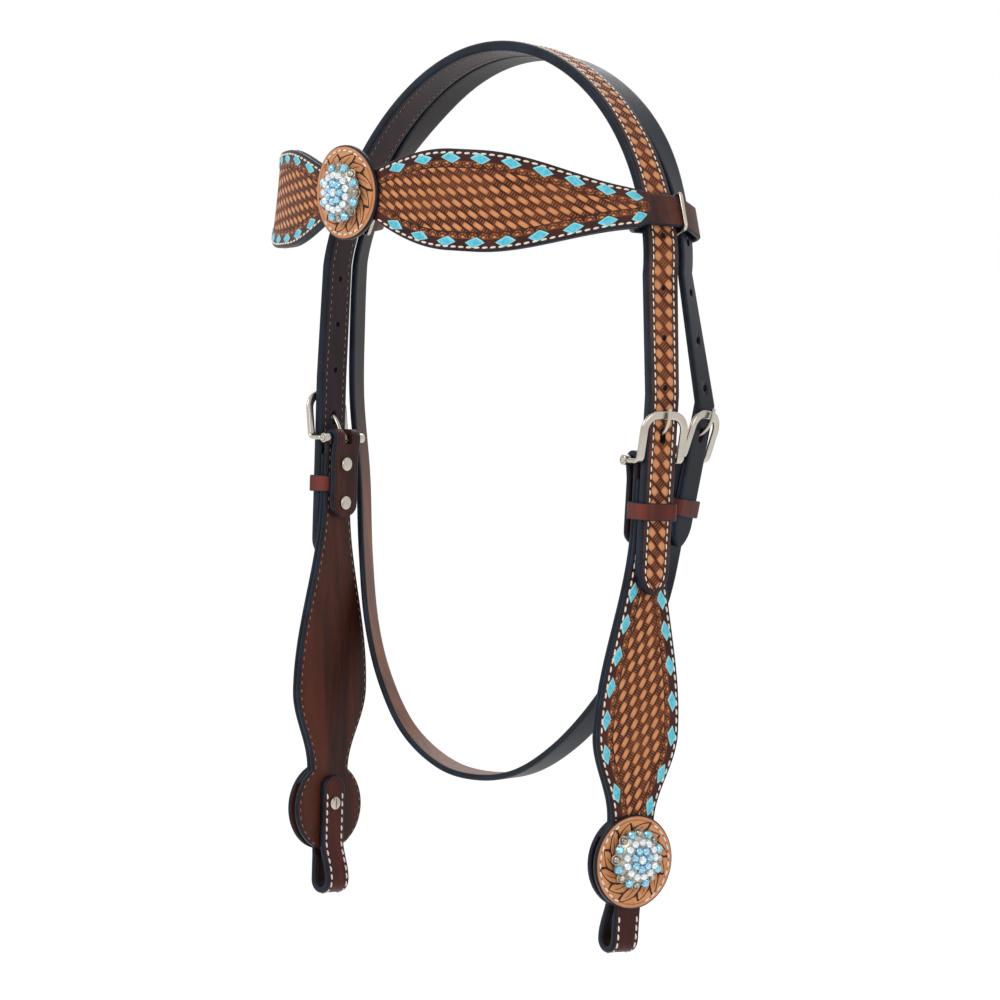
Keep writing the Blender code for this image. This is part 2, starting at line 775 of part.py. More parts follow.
def build_concho(name, parent, matrix, post_length):
    """A domed concho with a ring of beads and a bored post behind."""
    rise = CONCHO_HEIGHT - CONCHO_RIM
    profile = []
    for step in range(DOME_STEPS + 1):
        angle = QUARTER_TURN * step / DOME_STEPS
        profile.append((CONCHO_RADIUS * math.sin(angle), CONCHO_RIM + rise * math.cos(angle)))
    profile += [(CONCHO_RADIUS, 0), (POST_RADIUS, 0), (POST_RADIUS, -post_length)]
    profile += [(POST_BORE, -post_length), (POST_BORE, 0), (0, 0)]
    concho = turned(name, profile, PEWTER, parent, matrix, ROUND_STEPS)
    apply_boolean(concho, bead_ring(name + "_beads", parent, matrix), "UNION")


def bead_ring(name, parent, matrix):
    """The beads round a concho's rim as one tool."""
    bm = bmesh.new()
    for number in range(CONCHO_BEADS):
        turn = Matrix.Rotation(HALF_TURN * (2 * number + 1) / CONCHO_BEADS, 4, "Z")
        place = Vector((CONCHO_RADIUS * BEAD_RING_SHARE, 0, CONCHO_HEIGHT * BEAD_LIFT_SHARE))
        bmesh.ops.create_uvsphere(
            bm,
            u_segments=BEAD_SEGMENTS,
            v_segments=BEAD_ROWS,
            radius=BEAD_RADIUS,
            matrix=turn @ Matrix.Translation(place),
        )
    beads = add_object(name, finish_mesh(bm, name), None, parent, GUIDES)
    beads.matrix_local = matrix
    return beads


def build_screw(name, parent, matrix, shank_length):
    """A slotted screw whose head faces down its axis, with its shank in the concho's post."""
    head = SCREW_HEAD_HEIGHT
    profile = [(0, shank_length), (SCREW_SHANK, shank_length), (SCREW_SHANK, 0), (SCREW_HEAD_RADIUS, 0)]
    profile += [(SCREW_HEAD_RADIUS, -head / 2), (SCREW_HEAD_RADIUS - head / 2, -head), (0, -head)]
    screw = turned(name, profile, NICKEL, parent, matrix)
    size = (SCREW_SLOT_WIDTH, 2 * SCREW_HEAD_RADIUS + CUT_OVERRUN, 2 * SCREW_SLOT_DEPTH)
    slot = box(name + "_slot", size, (0, 0, -head), parent, GUIDES)
    slot.matrix_local = matrix
    apply_boolean(screw, slot, "DIFFERENCE")


def panel_profile():
    """Distance below the bar and half width of a cheek piece, from its neck to the disk's foot."""
    neck = STRAP_WIDTH / 2
    wide = PANEL_WIDTH / 2
    waist_angle = math.asin(WAIST_WIDTH / 2 / DISK_RADIUS)
    waist_drop = DISK_DROP - DISK_RADIUS * math.cos(waist_angle)
    profile = []
    for step in range(PANEL_STEPS):
        share = step / PANEL_STEPS
        drop = NARROW_LENGTH + (WIDEST_DROP - NARROW_LENGTH) * share
        profile.append((drop, neck + (wide - neck) * ease(share)))
    for step in range(PANEL_STEPS):
        share = step / PANEL_STEPS
        drop = WIDEST_DROP + (waist_drop - WIDEST_DROP) * share
        profile.append((drop, wide + (WAIST_WIDTH / 2 - wide) * ease(share)))
    for step in range(DISK_STEPS):
        angle = waist_angle + (DISK_LAST_ANGLE - waist_angle) * step / (DISK_STEPS - 1)
        profile.append((DISK_DROP - DISK_RADIUS * math.cos(angle), DISK_RADIUS * math.sin(angle)))
    return profile


def build_cheek_lining(prefix, guide):
    """The lining ply of a cheek piece, folded over the bar and turned back inside."""
    level = Matrix.Identity(4)
    rings = []
    for drop, half in reversed(panel_profile()):
        rings.append(section(local_place(level, LINING_IN, -drop, -1), half, 0, LINING_PLY))
    for place in fold_places(level, NARROW_LENGTH / 2, -1):
        rings.append(section(place, STRAP_WIDTH / 2, 0, LINING_PLY))
    lining = loft(prefix + "_cheek_lining", rings, MAHOGANY, guide)
    slot = fold_slot(prefix, level, LINING_PLY)
    slot.parent = guide
    apply_boolean(lining, slot, "DIFFERENCE")
    return lining


def build_cheek_overlay(prefix, guide):
    """The tooled ply of a cheek piece, from below the bar to the top of the bit strap."""
    level = Matrix.Identity(4)
    profile = [(OVERLAY_TOP_DROP, STRAP_WIDTH / 2)]
    profile += [row for row in panel_profile() if row[0] < BIT_TOP_DROP - SEAT_GAP]
    rings = [section(local_place(level, OVERLAY_IN, -drop), half, 0, TOOLED_PLY) for drop, half in profile]
    return loft(prefix + "_cheek_tooled_ply", rings, TAN, guide)


def build_disk(prefix, guide):
    """The round tooled ply over the foot of a cheek piece."""
    start = Vector((DISK_IN, 0, -DISK_DROP))
    end = Vector((DISK_OUT, 0, -DISK_DROP))
    disk = cylinder(prefix + "_cheek_disk", DISK_RADIUS, start, end, guide, TAN, steps=2 * ROUND_STEPS)
    bevel = disk.modifiers.new("rounded_edge", "BEVEL")
    bevel.width = EDGE_ROUND
    bevel.segments = 1
    bevel.limit_method = "ANGLE"
    return disk


def bit_strap_places():
    """Places and thicknesses of a bit strap's middle, from under the disk round the bit loop."""
    out_covered = LINING_OUT + SEAT_GAP + BIT_SKIVED_PLY / 2
    out_free = OVERLAY_OUT - BIT_PLY / 2
    in_free = out_free - BIT_PLY - BIT_LOOP_DEPTH
    in_seated = LINING_IN - SEAT_GAP - BIT_PLY / 2
    disk_foot = DISK_DROP + DISK_RADIUS
    radius = (out_free - in_free) / 2
    centre_drop = BIT_LOOP_DROP - BIT_PLY / 2 - radius
    keys = [(out_covered, BIT_TOP_DROP), (out_covered, disk_foot + SEAT_GAP)]
    keys += [(out_free, disk_foot + BIT_SKIVE_LENGTH)]
    for step in range(BIT_LOOP_STEPS + 1):
        angle = HALF_TURN * step / BIT_LOOP_STEPS
        keys.append((in_free + radius + radius * math.cos(angle), centre_drop + radius * math.sin(angle)))
    rise = centre_drop - BIT_SETTLE_DROP
    for step in range(1, BIT_SETTLE_STEPS + 1):
        share = step / BIT_SETTLE_STEPS
        keys.append((in_free + (in_seated - in_free) * ease(share), centre_drop - rise * share))
    keys.append((in_seated, BIT_TAIL_TOP_DROP + BIT_TAIL_POINT))
    points = [Vector((out, 0, -drop)) for out, drop in keys]
    plies = [BIT_SKIVED_PLY] * 2 + [BIT_PLY] * (len(keys) - 2)
    return list(zip(places_along(points, [Vector((0, 1, 0))] * len(points)), plies))


def build_bit_strap(prefix, guide):
    """The strap that folds inwards to hold a bit and is screwed to the inside of the disk."""
    half = BIT_STRAP_WIDTH / 2
    rings = [section(place, half, -ply / 2, ply / 2) for place, ply in bit_strap_places()]
    seated = LINING_IN - SEAT_GAP - BIT_PLY / 2
    for distance, tip_half in reversed(point_halves(half, BIT_TAIL_POINT)[:-1]):
        place = local_place(Matrix.Identity(4), seated, -BIT_TAIL_TOP_DROP - distance, 1)
        point, across, outward = place
        rings.append(section((point, across, -outward), tip_half, -BIT_PLY / 2, BIT_PLY / 2))
    return loft(prefix + "_bit_strap", rings, MAHOGANY, guide)


def build_keeper(name, guide, half, low, high):
    """A closed leather loop round a strap and its billet, standing across a buckle's frame."""
    curve = bpy.data.curves.new(name, "CURVE")
    curve.dimensions = "2D"
    curve.fill_mode = "BOTH"
    curve.extrude = KEEPER_HEIGHT / 2
    for grow in (0, KEEPER_PLY):
        reach = half + KEEPER_SLACK + grow
        outline = rounded_outline(low - grow, high + grow, reach, KEEPER_CORNER + grow)
        spline = curve.splines.new("POLY")
        spline.points.add(len(outline) - 1)
        for point, (out, side) in zip(spline.points, outline):
            point.co = (out, side, 0, 1)
        spline.use_cyclic_u = True
    keeper = add_object(name, curve, KEEPER_BROWN, guide)
    keeper.location = (0, 0, -KEEPER_DROP)
    return keeper


def rounded_outline(low, high, half, corner):
    """A rectangle with round corners, outward from low to high and half to each side."""
    outline = []
    centres = ((high - corner, half - corner), (low + corner, half - corner))
    centres += ((low + corner, corner - half), (high - corner, corner - half))
    for quarter, (out, side) in enumerate(centres):
        for step in range(KEEPER_CORNER_STEPS + 1):
            angle = QUARTER_TURN * (quarter + step / KEEPER_CORNER_STEPS)
            outline.append((out + corner * math.cos(angle), side + corner * math.sin(angle)))
    return outline


def frame_route(half, billet_out):
    """Places along a buckle frame, from one knuckle out, up, over the crossbar and back."""
    side = half + FRAME_SLACK + FRAME_STOCK / 2
    crossbar = billet_out + CROSSBAR_GAP + FRAME_PLY / 2
    heel = crossbar - FRAME_RISE * math.tan(FRAME_LEAN)
    points = [Vector(((KNUCKLE_BORE + KNUCKLE_RADIUS) / 2, side, 0))]
    acrosses = [Vector((0, 1, 0))]
    for step in range(HEEL_STEPS + 1):
        angle = (QUARTER_TURN - FRAME_LEAN) * step / HEEL_STEPS
        out = heel - HEEL_RADIUS + HEEL_RADIUS * math.sin(angle)
        points.append(Vector((out, side, HEEL_RADIUS - HEEL_RADIUS * math.cos(angle))))
        acrosses.append(Vector((0, 1, 0)))
    for step in range(CORNER_STEPS + 1):
        angle = QUARTER_TURN * step / CORNER_STEPS
        rise = FRAME_RISE - FRAME_CORNER + FRAME_CORNER * math.sin(angle)
        out = heel + rise * math.tan(FRAME_LEAN)
        points.append(Vector((out, side - FRAME_CORNER + FRAME_CORNER * math.cos(angle), rise)))
        acrosses.append(Vector((math.tan(FRAME_LEAN) * math.sin(angle), math.cos(angle), math.sin(angle))))
    points += [MIRROR_Y @ point for point in reversed(points)]
    acrosses += [MIRROR_Y @ across for across in reversed(acrosses)]
    return places_along(points, acrosses)


def build_buckle(prefix, parent, half, billet_out):
    """A heel-bar buckle: frame with knuckles, bar, and tongue, in one frame of axes."""
    rings = []
    for place in frame_route(half, billet_out):
        rings.append(section(place, FRAME_STOCK / 2, -FRAME_PLY / 2, FRAME_PLY / 2, FRAME_EDGE))
    frame = loft(prefix + "_buckle_frame", rings, NICKEL, parent)
    side = half + FRAME_SLACK + FRAME_STOCK / 2
    for sign, where in ((1, "back"), (-1, "front")):
        ends = (side - FRAME_STOCK / 2 - FRAME_EDGE, side + FRAME_STOCK / 2 + FRAME_EDGE)
        start, end = (Vector((0, sign * span, 0)) for span in ends)
        knuckle = cylinder(prefix + "_knuckle_" + where, KNUCKLE_RADIUS, start, end, parent, None, GUIDES)
        apply_boolean(frame, knuckle, "UNION")
    reach = side + FRAME_STOCK / 2 + FRAME_EDGE
    bore_end = Vector((0, reach + CUT_OVERRUN, 0))
    bore = cylinder(prefix + "_bore", KNUCKLE_BORE, -bore_end, bore_end, parent, None, GUIDES)
    apply_boolean(frame, bore, "DIFFERENCE")
    bar_end = Vector((0, reach + BAR_END, 0))
    cylinder(prefix + "_buckle_bar", BAR_RADIUS, -bar_end, bar_end, parent, NICKEL)
    build_tongue(prefix, parent, billet_out, bore)
    return frame


def build_tongue(prefix, parent, billet_out, bore):
    """A buckle tongue: a knuckle on the bar and a bent wire through the billet's hole."""
    rest = billet_out + CROSSBAR_GAP + FRAME_PLY + CROSSBAR_GAP + TONGUE_RADIUS
    keys = [Vector((out * rest, 0, up * FRAME_RISE)) for out, up in TONGUE_SHARES]
    keys = [keys[0] * 2 - keys[1]] + keys + [keys[-1] * 2 - keys[-2]]
    points = smooth_curve(keys, TONGUE_STEPS)
    tongue = tube(prefix + "_buckle_tongue", points, TONGUE_RADIUS, NICKEL, parent)
    end =Vector((0, TONGUE_WIDTH / 2, 0))
    knuckle = cylinder(prefix + "_tongue_knuckle", TONGUE_KNUCKLE, -end, end, parent, None, GUIDES)
    apply_boolean(tongue, knuckle, "UNION")
    apply_boolean(tongue, bore, "DIFFERENCE")


def tube(name, points, radius, material, parent):
    """A round wire along points, made a mesh so that it can be cut and joined."""
    curve = wire_curve(name, points, radius, False)
    item = add_object(name + "_wire", curve, None, None, GUIDES)
    graph = bpy.context.evaluated_depsgraph_get()
    mesh = bpy.data.meshes.new_from_object(item.evaluated_get(graph), depsgraph=graph)
    bpy.data.objects.remove(item, do_unlink=True)
    bm = bmesh.new()
    bm.from_mesh(mesh)
    return add_object(name, finish_mesh(bm, name), material, parent)


def wire_curve(name, points, radius, cyclic):
    """A curve with a round bevel."""
    curve = bpy.data.curves.new(name, "CURVE")
    curve.dimensions = "3D"
    curve.bevel_depth = radius
    curve.bevel_resolution = WIRE_STEPS
    curve.use_fill_caps = not cyclic
    spline = curve.splines.new("POLY")
    spline.points.add(len(points) - 1)
    for target, point in zip(spline.points, points):
        target.co = (*point, 1)
    spline.use_cyclic_u = cyclic
    return curve


def build_cheek(prefix, frame):
    """Every piece that hangs from one cheek's buckle bar."""
    guide = add_guide(prefix + "_cheek_frame", frame)
    lining = build_cheek_lining(prefix, guide)
    overlay = build_cheek_overlay(prefix, guide)
    disk = build_disk(prefix, guide)
    bit_strap = build_bit_strap(prefix, guide)
    burr_top = OVERLAY_OUT - SEAT_GAP / 2
    head_in = LINING_IN - KEEPER_ROOM - LINING_PLY
    rivet_cuts(prefix, frame, (overlay, lining), head_in, burr_top)
    build_rivets(prefix, guide, head_in - SEAT_GAP, burr_top)
    tail_in = LINING_IN - SEAT_GAP - BIT_PLY
    post_low = LINING_IN + SEAT_GAP
    seam = LINING_IN - SEAT_GAP / 2
    top = DISK_OUT + CUT_OVERRUN
    room = POST_RADIUS + SEAT_GAP
    post = hole_cutter(prefix + "_post_hole", frame, seam, top, -SCREW_DROP, room)
    bottom = tail_in - CUT_OVERRUN
    shank = hole_cutter(prefix + "_screw_hole", frame, bottom, seam, -SCREW_DROP, POST_BORE)
    for piece in (lining, disk, bit_strap):
        apply_boolean(piece, post, "DIFFERENCE")
    apply_boolean(bit_strap, shank, "DIFFERENCE")
    base = DISK_OUT + SEAT_GAP
    build_concho(prefix + "_cheek_concho", guide, outward_axis(base, -SCREW_DROP), base - post_low)
    head_face = tail_in - SEAT_GAP
    stand = outward_axis(head_face, -SCREW_DROP)
    build_screw(prefix + "_cheek_screw", guide, stand, DISK_IN - head_face)
    half = STRAP_WIDTH / 2
    build_keeper(prefix + "_keeper", guide, half, LINING_IN - SEAT_GAP, BILLET_OUT + SEAT_GAP)
    build_buckle(prefix, guide, half, BILLET_OUT)


def build_throat():
    """The throat buckle, its keeper and its rivets."""
    guide = add_guide("throat_frame", THROAT_FRAME)
    head_in = FOLD_RADIUS - KEEPER_ROOM - THROAT_PLY - SEAT_GAP
    build_rivets("throat", guide, head_in, THROAT_OUT - SEAT_GAP / 2)
    half = THROAT_WIDTH / 2
    top = THROAT_BILLET_OUT + SEAT_GAP
    build_keeper("throat_keeper", guide, half, FOLD_RADIUS - SEAT_GAP, top)
    build_buckle("throat", guide, half, THROAT_BILLET_OUT)


def brow_arc():
    """Points round the near half of the browband, with the run to each and the upward direction."""
    side_up = loop_axes(1)[3]
    points = []
    run = 0
    for step in range(BROW_STEPS + 1):
        angle = BROW_LAST_ANGLE * step / BROW_STEPS
        level = Vector((BROW_HALF_SPAN * math.sin(angle), BROW_CENTRE - BROW_FRONT * math.cos(angle), 0))
        if points:
            run += (level - points[-1][1]).length
        points.append((run, level))
    arc = []
    for run, level in points:
        share = run / points[-1][0]
        level = level + Vector((0, 0, -BROW_FRONT_DROP - (BROW_SIDE_DROP - BROW_FRONT_DROP) * share))
        arc.append((run, level, Vector((0, 0, 1)).lerp(side_up, share**BROW_LEAN_POWER)))
    return arc


def brow_half(run):
    """Half height of the browband at a run from its middle."""
    waist, widest, neck = BROW_WAIST_HEIGHT / 2, BROW_WIDEST_HEIGHT / 2, BROW_NECK_HEIGHT / 2
    if run < BROW_WIDE_START:
        share = max(run - BROW_WAIST_RUN, 0) / (BROW_WIDE_START - BROW_WAIST_RUN)
        half = waist + (widest - waist) * math.sin(QUARTER_TURN * share)
    else:
        share = (run - BROW_WIDE_END) / (BROW_NECK_RUN - BROW_WIDE_END)
        half = widest + (neck - widest) * ease(share)
    if run < ROSETTE_RADIUS:
        half = max(half, math.sqrt(ROSETTE_RADIUS**2 - run**2))
    return half


def loop_axes(side):
    """A point at a browband loop, then across, outward and up the run of the straps there."""
    point, across, outward = crown_place(side * LOOP_ANGLE)
    above = crown_place(side * (LOOP_ANGLE - LOOP_SPREAD))[0]
    below = crown_place(side * (LOOP_ANGLE + LOOP_SPREAD))[0]
    up = (above - below).normalized()
    across = (across - up * across.dot(up)).normalized()
    return point, across, across.cross(up) * side, up


def loop_keys(arc, side):
    """Points of a browband loop round both straps, back to the inside of the browband.

    They lie on the near side. The loop of the off side, given by its sign, is mirrored later.
    """
    point, across, outward, _ = loop_axes(1)
    rear = rear_place(side * LOOP_ANGLE)
    if side < 0:
        rear = [MIRROR_X.to_3x3() @ part for part in rear]
    middle, along, over = (Vector((v.dot(across), v.dot(outward))) for v in (rear[0] - point, *rear[1:]))
    along.normalize()
    over.normalize()
    slack = LOOP_CLEARANCE + BROW_PLY / 2
    out = BILLET_PLIES + slack
    front = STRAP_WIDTH / 2 + LOOP_CLEARANCE
    corner = level_crossing(middle + over * (THROAT_PLY + slack), along, out)
    keys = [Vector((-front, out)), Vector((0, out)), corner]
    end = middle + along * (THROAT_WIDTH / 2 - LOOP_CLEARANCE) + over * THROAT_PLY / 2
    reach = THROAT_PLY / 2 + slack
    for step in range(LOOP_STEPS + 1):
        angle = QUARTER_TURN - HALF_TURN * step / LOOP_STEPS
        keys.append(end + along * reach * math.cos(angle) + over * reach * math.sin(angle))
    keys.append(level_crossing(middle - over * slack, along, -slack))
    keys += [Vector((0, -slack)), Vector((-front, -slack))]
    points = [point + across * key.x + outward * key.y for key in keys]
    tail = brow_tail(arc)
    start = points[-1]
    for step in range(1, LOOP_BEND_STEPS):
        share = step / LOOP_BEND_STEPS
        level = start.lerp(tail[0], share)
        sag = (tail[0] - start).dot(outward) * (ease(share) - share)
        points.append(level + outward * sag)
    return points + tail


def level_crossing(start, along, level):
    """Where a line from start, in the plane of a loop, comes to a level."""
    return start + along * (level - start.y) / along.y


def brow_tail(arc):
    """Points where a loop's end lies along the inside of the browband."""
    rows = arc[-LOOP_TAIL_STATIONS:]
    places = places_along([row[1] for row in rows], [row[2] for row in rows])
    return [point - outward * (BROW_PLY + SEAT_GAP) for point, _, outward in reversed(places[:-1])]


def brow_places(arc, side):
    """Places and half heights from the browband's middle round one loop, as on the near side."""
    loop = loop_keys(arc, side)
    points = [row[1] for row in arc] + loop
    ups = [row[2] for row in arc] + [loop_axes(1)[3]] * len(loop)
    places = places_along(points, ups)
    places[0] = (arc[0][1], Vector((0, 0, 1)), Vector((0, -1, 0)))
    halves = [brow_half(row[0]) for row in arc] + [LOOP_HEIGHT / 2] * len(loop)
    return list(zip(places, halves))


def build_browband(guide):
    """The browband's lining with its two loops, the tooled ply and the rosette."""
    arc = brow_arc()
    thick = BROW_PLY / 2
    near, off = (brow_places(arc, side) for side in (1, -1))
    near_rings, off_rings = (
        [section(place, half, -thick, thick) for place, half in places] for places in (near, off)
    )
    lining = loft("browband_lining", mirrored(off_rings)[:-1] + near_rings, MAHOGANY, guide)
    places, halves = zip(*near)
    low = thick + SEAT_GAP
    count = len(arc) + 1
    rings = [section(place, half, low, low + TOOLED_PLY) for place, half in zip(places[:count], halves)]
    overlay = loft("browband_tooled_ply", mirrored(rings)[:-1] + rings, TAN, guide)
    rosette = build_rosette(arc, places, low + TOOLED_PLY + SEAT_GAP, guide)
    fit_browband_concho((lining, overlay, rosette), places[0], guide)
    build_loop_rings(guide)


def build_rosette(arc, places, low, guide):
    """The round tooled ply at the middle of the browband, bent with it."""
    rings = []
    for step in range(1, ROSETTE_STEPS + 1):
        angle = QUARTER_TURN * step / ROSETTE_STEPS
        place = place_at_run(arc, places, ROSETTE_RADIUS * math.cos(angle))
        rings.append(section(place, ROSETTE_RADIUS * math.sin(angle), low, low + DISK_PLY))
    rings.reverse()
    return loft("browband_rosette", mirrored(rings)[:-1] + rings, TAN, guide)


def place_at_run(arc, places, run):
    """A place on the browband at a run from its middle."""
    for before, after, start, end in zip(arc, arc[1:], places, places[1:]):
        if run <= after[0]:
            share = (run - before[0]) / (after[0] - before[0])
            return tuple(a.lerp(b, share) for a, b in zip(start, end))
    return places[len(arc) - 1]


def fit_browband_concho(plies, place, guide):
    """The browband's concho and its screw, and their hole through the plies."""
    point, up, outward = place
    thick = BROW_PLY / 2
    base = thick + SEAT_GAP + TOOLED_PLY + SEAT_GAP + DISK_PLY + SEAT_GAP
    turn = Matrix((up.cross(outward), up, outward)).transposed().to_4x4()
    stand = Matrix.Translation(point + outward * base) @ turn
    post_length = base + thick - SEAT_GAP
    build_concho("browband_concho", guide, stand, post_length)
    head = Matrix.Translation(point - outward * (thick + SEAT_GAP)) @ turn
    build_screw("browband_screw", guide, head, base)
    reach = outward * (base + CUT_OVERRUN)
    room = POST_RADIUS + SEAT_GAP
    ends = (point - reach, point + reach)
    hole = cylinder("browband_post_hole", room, *ends, guide, collection=GUIDES)
    for ply in plies:
        apply_boolean(ply, hole, "DIFFERENCE")


def build_loop_rings(guide):
    """A wire ring clenched round each browband loop between the two straps."""
    for prefix, side in (("near", 1), ("off", -1)):
        point, across, outward, up = loop_axes(side)
        middle = (STRAP_WIDTH / 2 + rear_edge(LOOP_ANGLE)[0]) / 2
        room = BROW_PLY + LOOP_CLEARANCE + SEAT_GAP + RING_WIRE
        half = LOOP_HEIGHT / 2 + SEAT_GAP + RING_WIRE
        outline = rounded_outline(-room, BILLET_PLIES + room, half, RING_CORNER)
        points = [point + across * middle + outward * out + up * rise for out, rise in outline]
        name = prefix + "_browband_ring"
        add_object(name, wire_curve(name, points, RING_WIRE, True), NICKEL, guide)


def main():
    """Build every piece of the headstall."""
    build_crown()
    for prefix, frame in (("near", NEAR_FRAME), ("off", OFF_FRAME)):
        build_cheek(prefix, frame)
    build_throat()
    browband = add_guide("browband_frame", Matrix.Identity(4))
    build_browband(browband)


main()
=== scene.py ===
"""Looks of the western headstall: leather, tooling, stitching, lace, conchos and metal."""

import bisect
import itertools
import math

import bmesh
import bpy
from mathutils import Matrix, Vector


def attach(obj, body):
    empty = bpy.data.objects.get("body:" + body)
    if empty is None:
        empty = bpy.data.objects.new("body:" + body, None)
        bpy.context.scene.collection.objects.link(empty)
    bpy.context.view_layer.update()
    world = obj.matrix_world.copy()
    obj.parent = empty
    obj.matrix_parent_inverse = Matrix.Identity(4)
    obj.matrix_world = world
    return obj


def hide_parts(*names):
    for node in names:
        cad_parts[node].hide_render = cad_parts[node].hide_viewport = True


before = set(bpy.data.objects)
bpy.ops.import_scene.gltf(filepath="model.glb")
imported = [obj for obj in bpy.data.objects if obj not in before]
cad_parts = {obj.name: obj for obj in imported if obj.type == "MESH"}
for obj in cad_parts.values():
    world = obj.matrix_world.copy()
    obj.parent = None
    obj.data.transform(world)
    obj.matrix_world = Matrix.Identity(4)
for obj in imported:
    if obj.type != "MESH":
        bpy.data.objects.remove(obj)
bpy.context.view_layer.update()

MM = 0.001
FULL_TURN = math.radians(360)
HALF_TURN = math.radians(180)
QUARTER_TURN = math.radians(90)

# Sizes of the solids, in metres
STRAP_WIDTH = 0.019
THROAT_WIDTH = 0.016
LINING_PLY = 0.003
TOOLED_PLY = 0.0022
THROAT_PLY = 0.0034
BROW_PLY = 0.0024
KEEPER_PLY = 0.0017
SEAT_GAP = 0.0003

ARCH_HALF_SPAN = 0.131
ARCH_DEPTH = 0.115
ARCH_POWER = 1.2
COARSE_ARCH_STEPS = 14
POLL_FLAT_ANGLE = math.radians(2.8)
POLL_SETBACK = 0.0065
SIDE_SETBACK = -0.0055
SETBACK_POWER = 1.4
CROWN_TILT = math.radians(8)
STRAP_YAW = math.radians(9)
REAR_YAW = math.radians(-30)
WEB_END_ANGLE = math.radians(34)
WEB_HALF = 0.005
WEB_INSET = 0.0009
POLL_GAP = 0.0005
SIDE_GAP = 0.0026

BAR_HALF_SPAN = 0.126
BAR_SETBACK = -0.0085
BAR_DROP = 0.211
CHEEK_YAW = math.radians(5)
CHEEK_LEAN_OUT = math.radians(1.2)
CHEEK_LEAN_BACK = math.radians(3.2)
BILLET_RISE = 0.034
BILLET_BELOW_BAR = 0.068
BILLET_POINT = 0.012

FOLD_RADIUS = 0.002
TURNBACK_SLACK = 0.0005
TURNBACK_LENGTH = 0.044
TURNBACK_SETTLE = 0.011
TURNBACK_SHARES = (0.25, 0.5, 0.75, 0.82, 0.88, 0.93, 0.97, 1)
NARROW_LENGTH = 0.032
WIDEST_DROP = 0.140
PANEL_WIDTH = 0.0518
WAIST_WIDTH = 0.027
DISK_DROP = 0.2055
DISK_RADIUS = 0.0244
DISK_PLY = 0.0024
DISK_FOOT_ANGLE = math.radians(177)
OVERLAY_TOP_DROP = 0.009
OVERLAY_STEP = 0.0046
OVERLAY_SINK = 0.00025

BIT_STRAP_WIDTH = 0.016
BIT_PLY = 0.0036
BIT_SKIVED_PLY = 0.0022
BIT_TOP_DROP = 0.193
BIT_LOOP_DROP = 0.2535
BIT_LOOP_DEPTH = 0.0076
BIT_TAIL_DROPS = (0.215, 0.208, 0.2, 0.196, 0.194, 0.192, 0.1905, 0.1892, 0.1883)
BIT_SKIVE_LENGTH = 0.005
BIT_SETTLE_DROP = 0.223

KEEPER_DROP = 0.0255
KEEPER_HEIGHT = 0.009
KEEPER_SLACK = 0.0004
KEEPER_CORNER = 0.0012

BAR_RADIUS = 0.0015
KNUCKLE_BORE = 0.0016
KNUCKLE_RADIUS = 0.003
FRAME_SLACK = 0.0008
FRAME_STOCK = 0.0046
FRAME_PLY = 0.0024
FRAME_RISE = 0.0238
FRAME_LEAN = math.radians(6.5)
HEEL_RADIUS = 0.003
FRAME_CORNER = 0.008
CROSSBAR_GAP = 0.0004
TONGUE_RADIUS = 0.0011
TONGUE_KNUCKLE = 0.0029
TONGUE_WIDTH = 0.0032
TONGUE_SLOT = 0.0046
TONGUE_HOLE_WIDTH = 0.0036
TONGUE_HOLE_LOW = 0.0072
TONGUE_HOLE_HIGH = 0.0176
TONGUE_SHARES = (
    (0.076, 0.085),
    (0.27, 0.34),
    (0.466, 0.5),
    (0.727, 0.62),
    (0.915, 0.76),
    (1.0, 0.93),
    (1.017, 1.16),
)
HOLE_SPACING = 0.0254
HOLE_RADIUS = 0.0019
THROAT_HOLES = 4

RIVET_DROPS = (0.0145, 0.036)
RIVET_SHANK = 0.0014
RIVET_HEAD_RADIUS = 0.0038
RIVET_HEAD_HEIGHT = 0.0013
HEAD_RIM = 0.00035
BURR_RADIUS = 0.003
BURR_HEIGHT = 0.0008
SCREW_RISE = 0.002
SCREW_SHANK = 0.0016
SCREW_RIM = 0.0004
SCREW_HEAD_RADIUS = 0.0036
SCREW_HEAD_HEIGHT = 0.0013
SCREW_SLOT_WIDTH = 0.0009
SCREW_SLOT_DEPTH = 0.0006
CONCHO_RADIUS = 0.0158
CONCHO_HEIGHT = 0.0072
CONCHO_RIM = 0.0012
CAST_INSET = 0.0016
STONE_INSET = 0.0012
CONCHO_BEADS = 8
BEAD_INSET = 0.0025
BEAD_RADIUS = 0.0023
BEAD_TILT = 2.2
BEAD_CUP = ((0, -0.9), (1.05, -0.9), (1.22, -0.2), (1.22, 0.1), (1.05, 0.22), (0.92, 0.05))
BEAD_LEVEL = 0.0023
TEAL_LEVEL = 0.0029
TEAL_STONE = (0.0025, 0.0021)
CLEAR_RING = 0.0089
CLEAR_STONES = 13
CLEAR_STONE = (0.00215, 0.002)
MIDDLE_STONE = (0.0026, 0.0022)
SKY_RING = 0.00475
SKY_STONES = 7
SKY_STONE = (0.0022, 0.0021)
STONE_UPRIGHT = 0.35

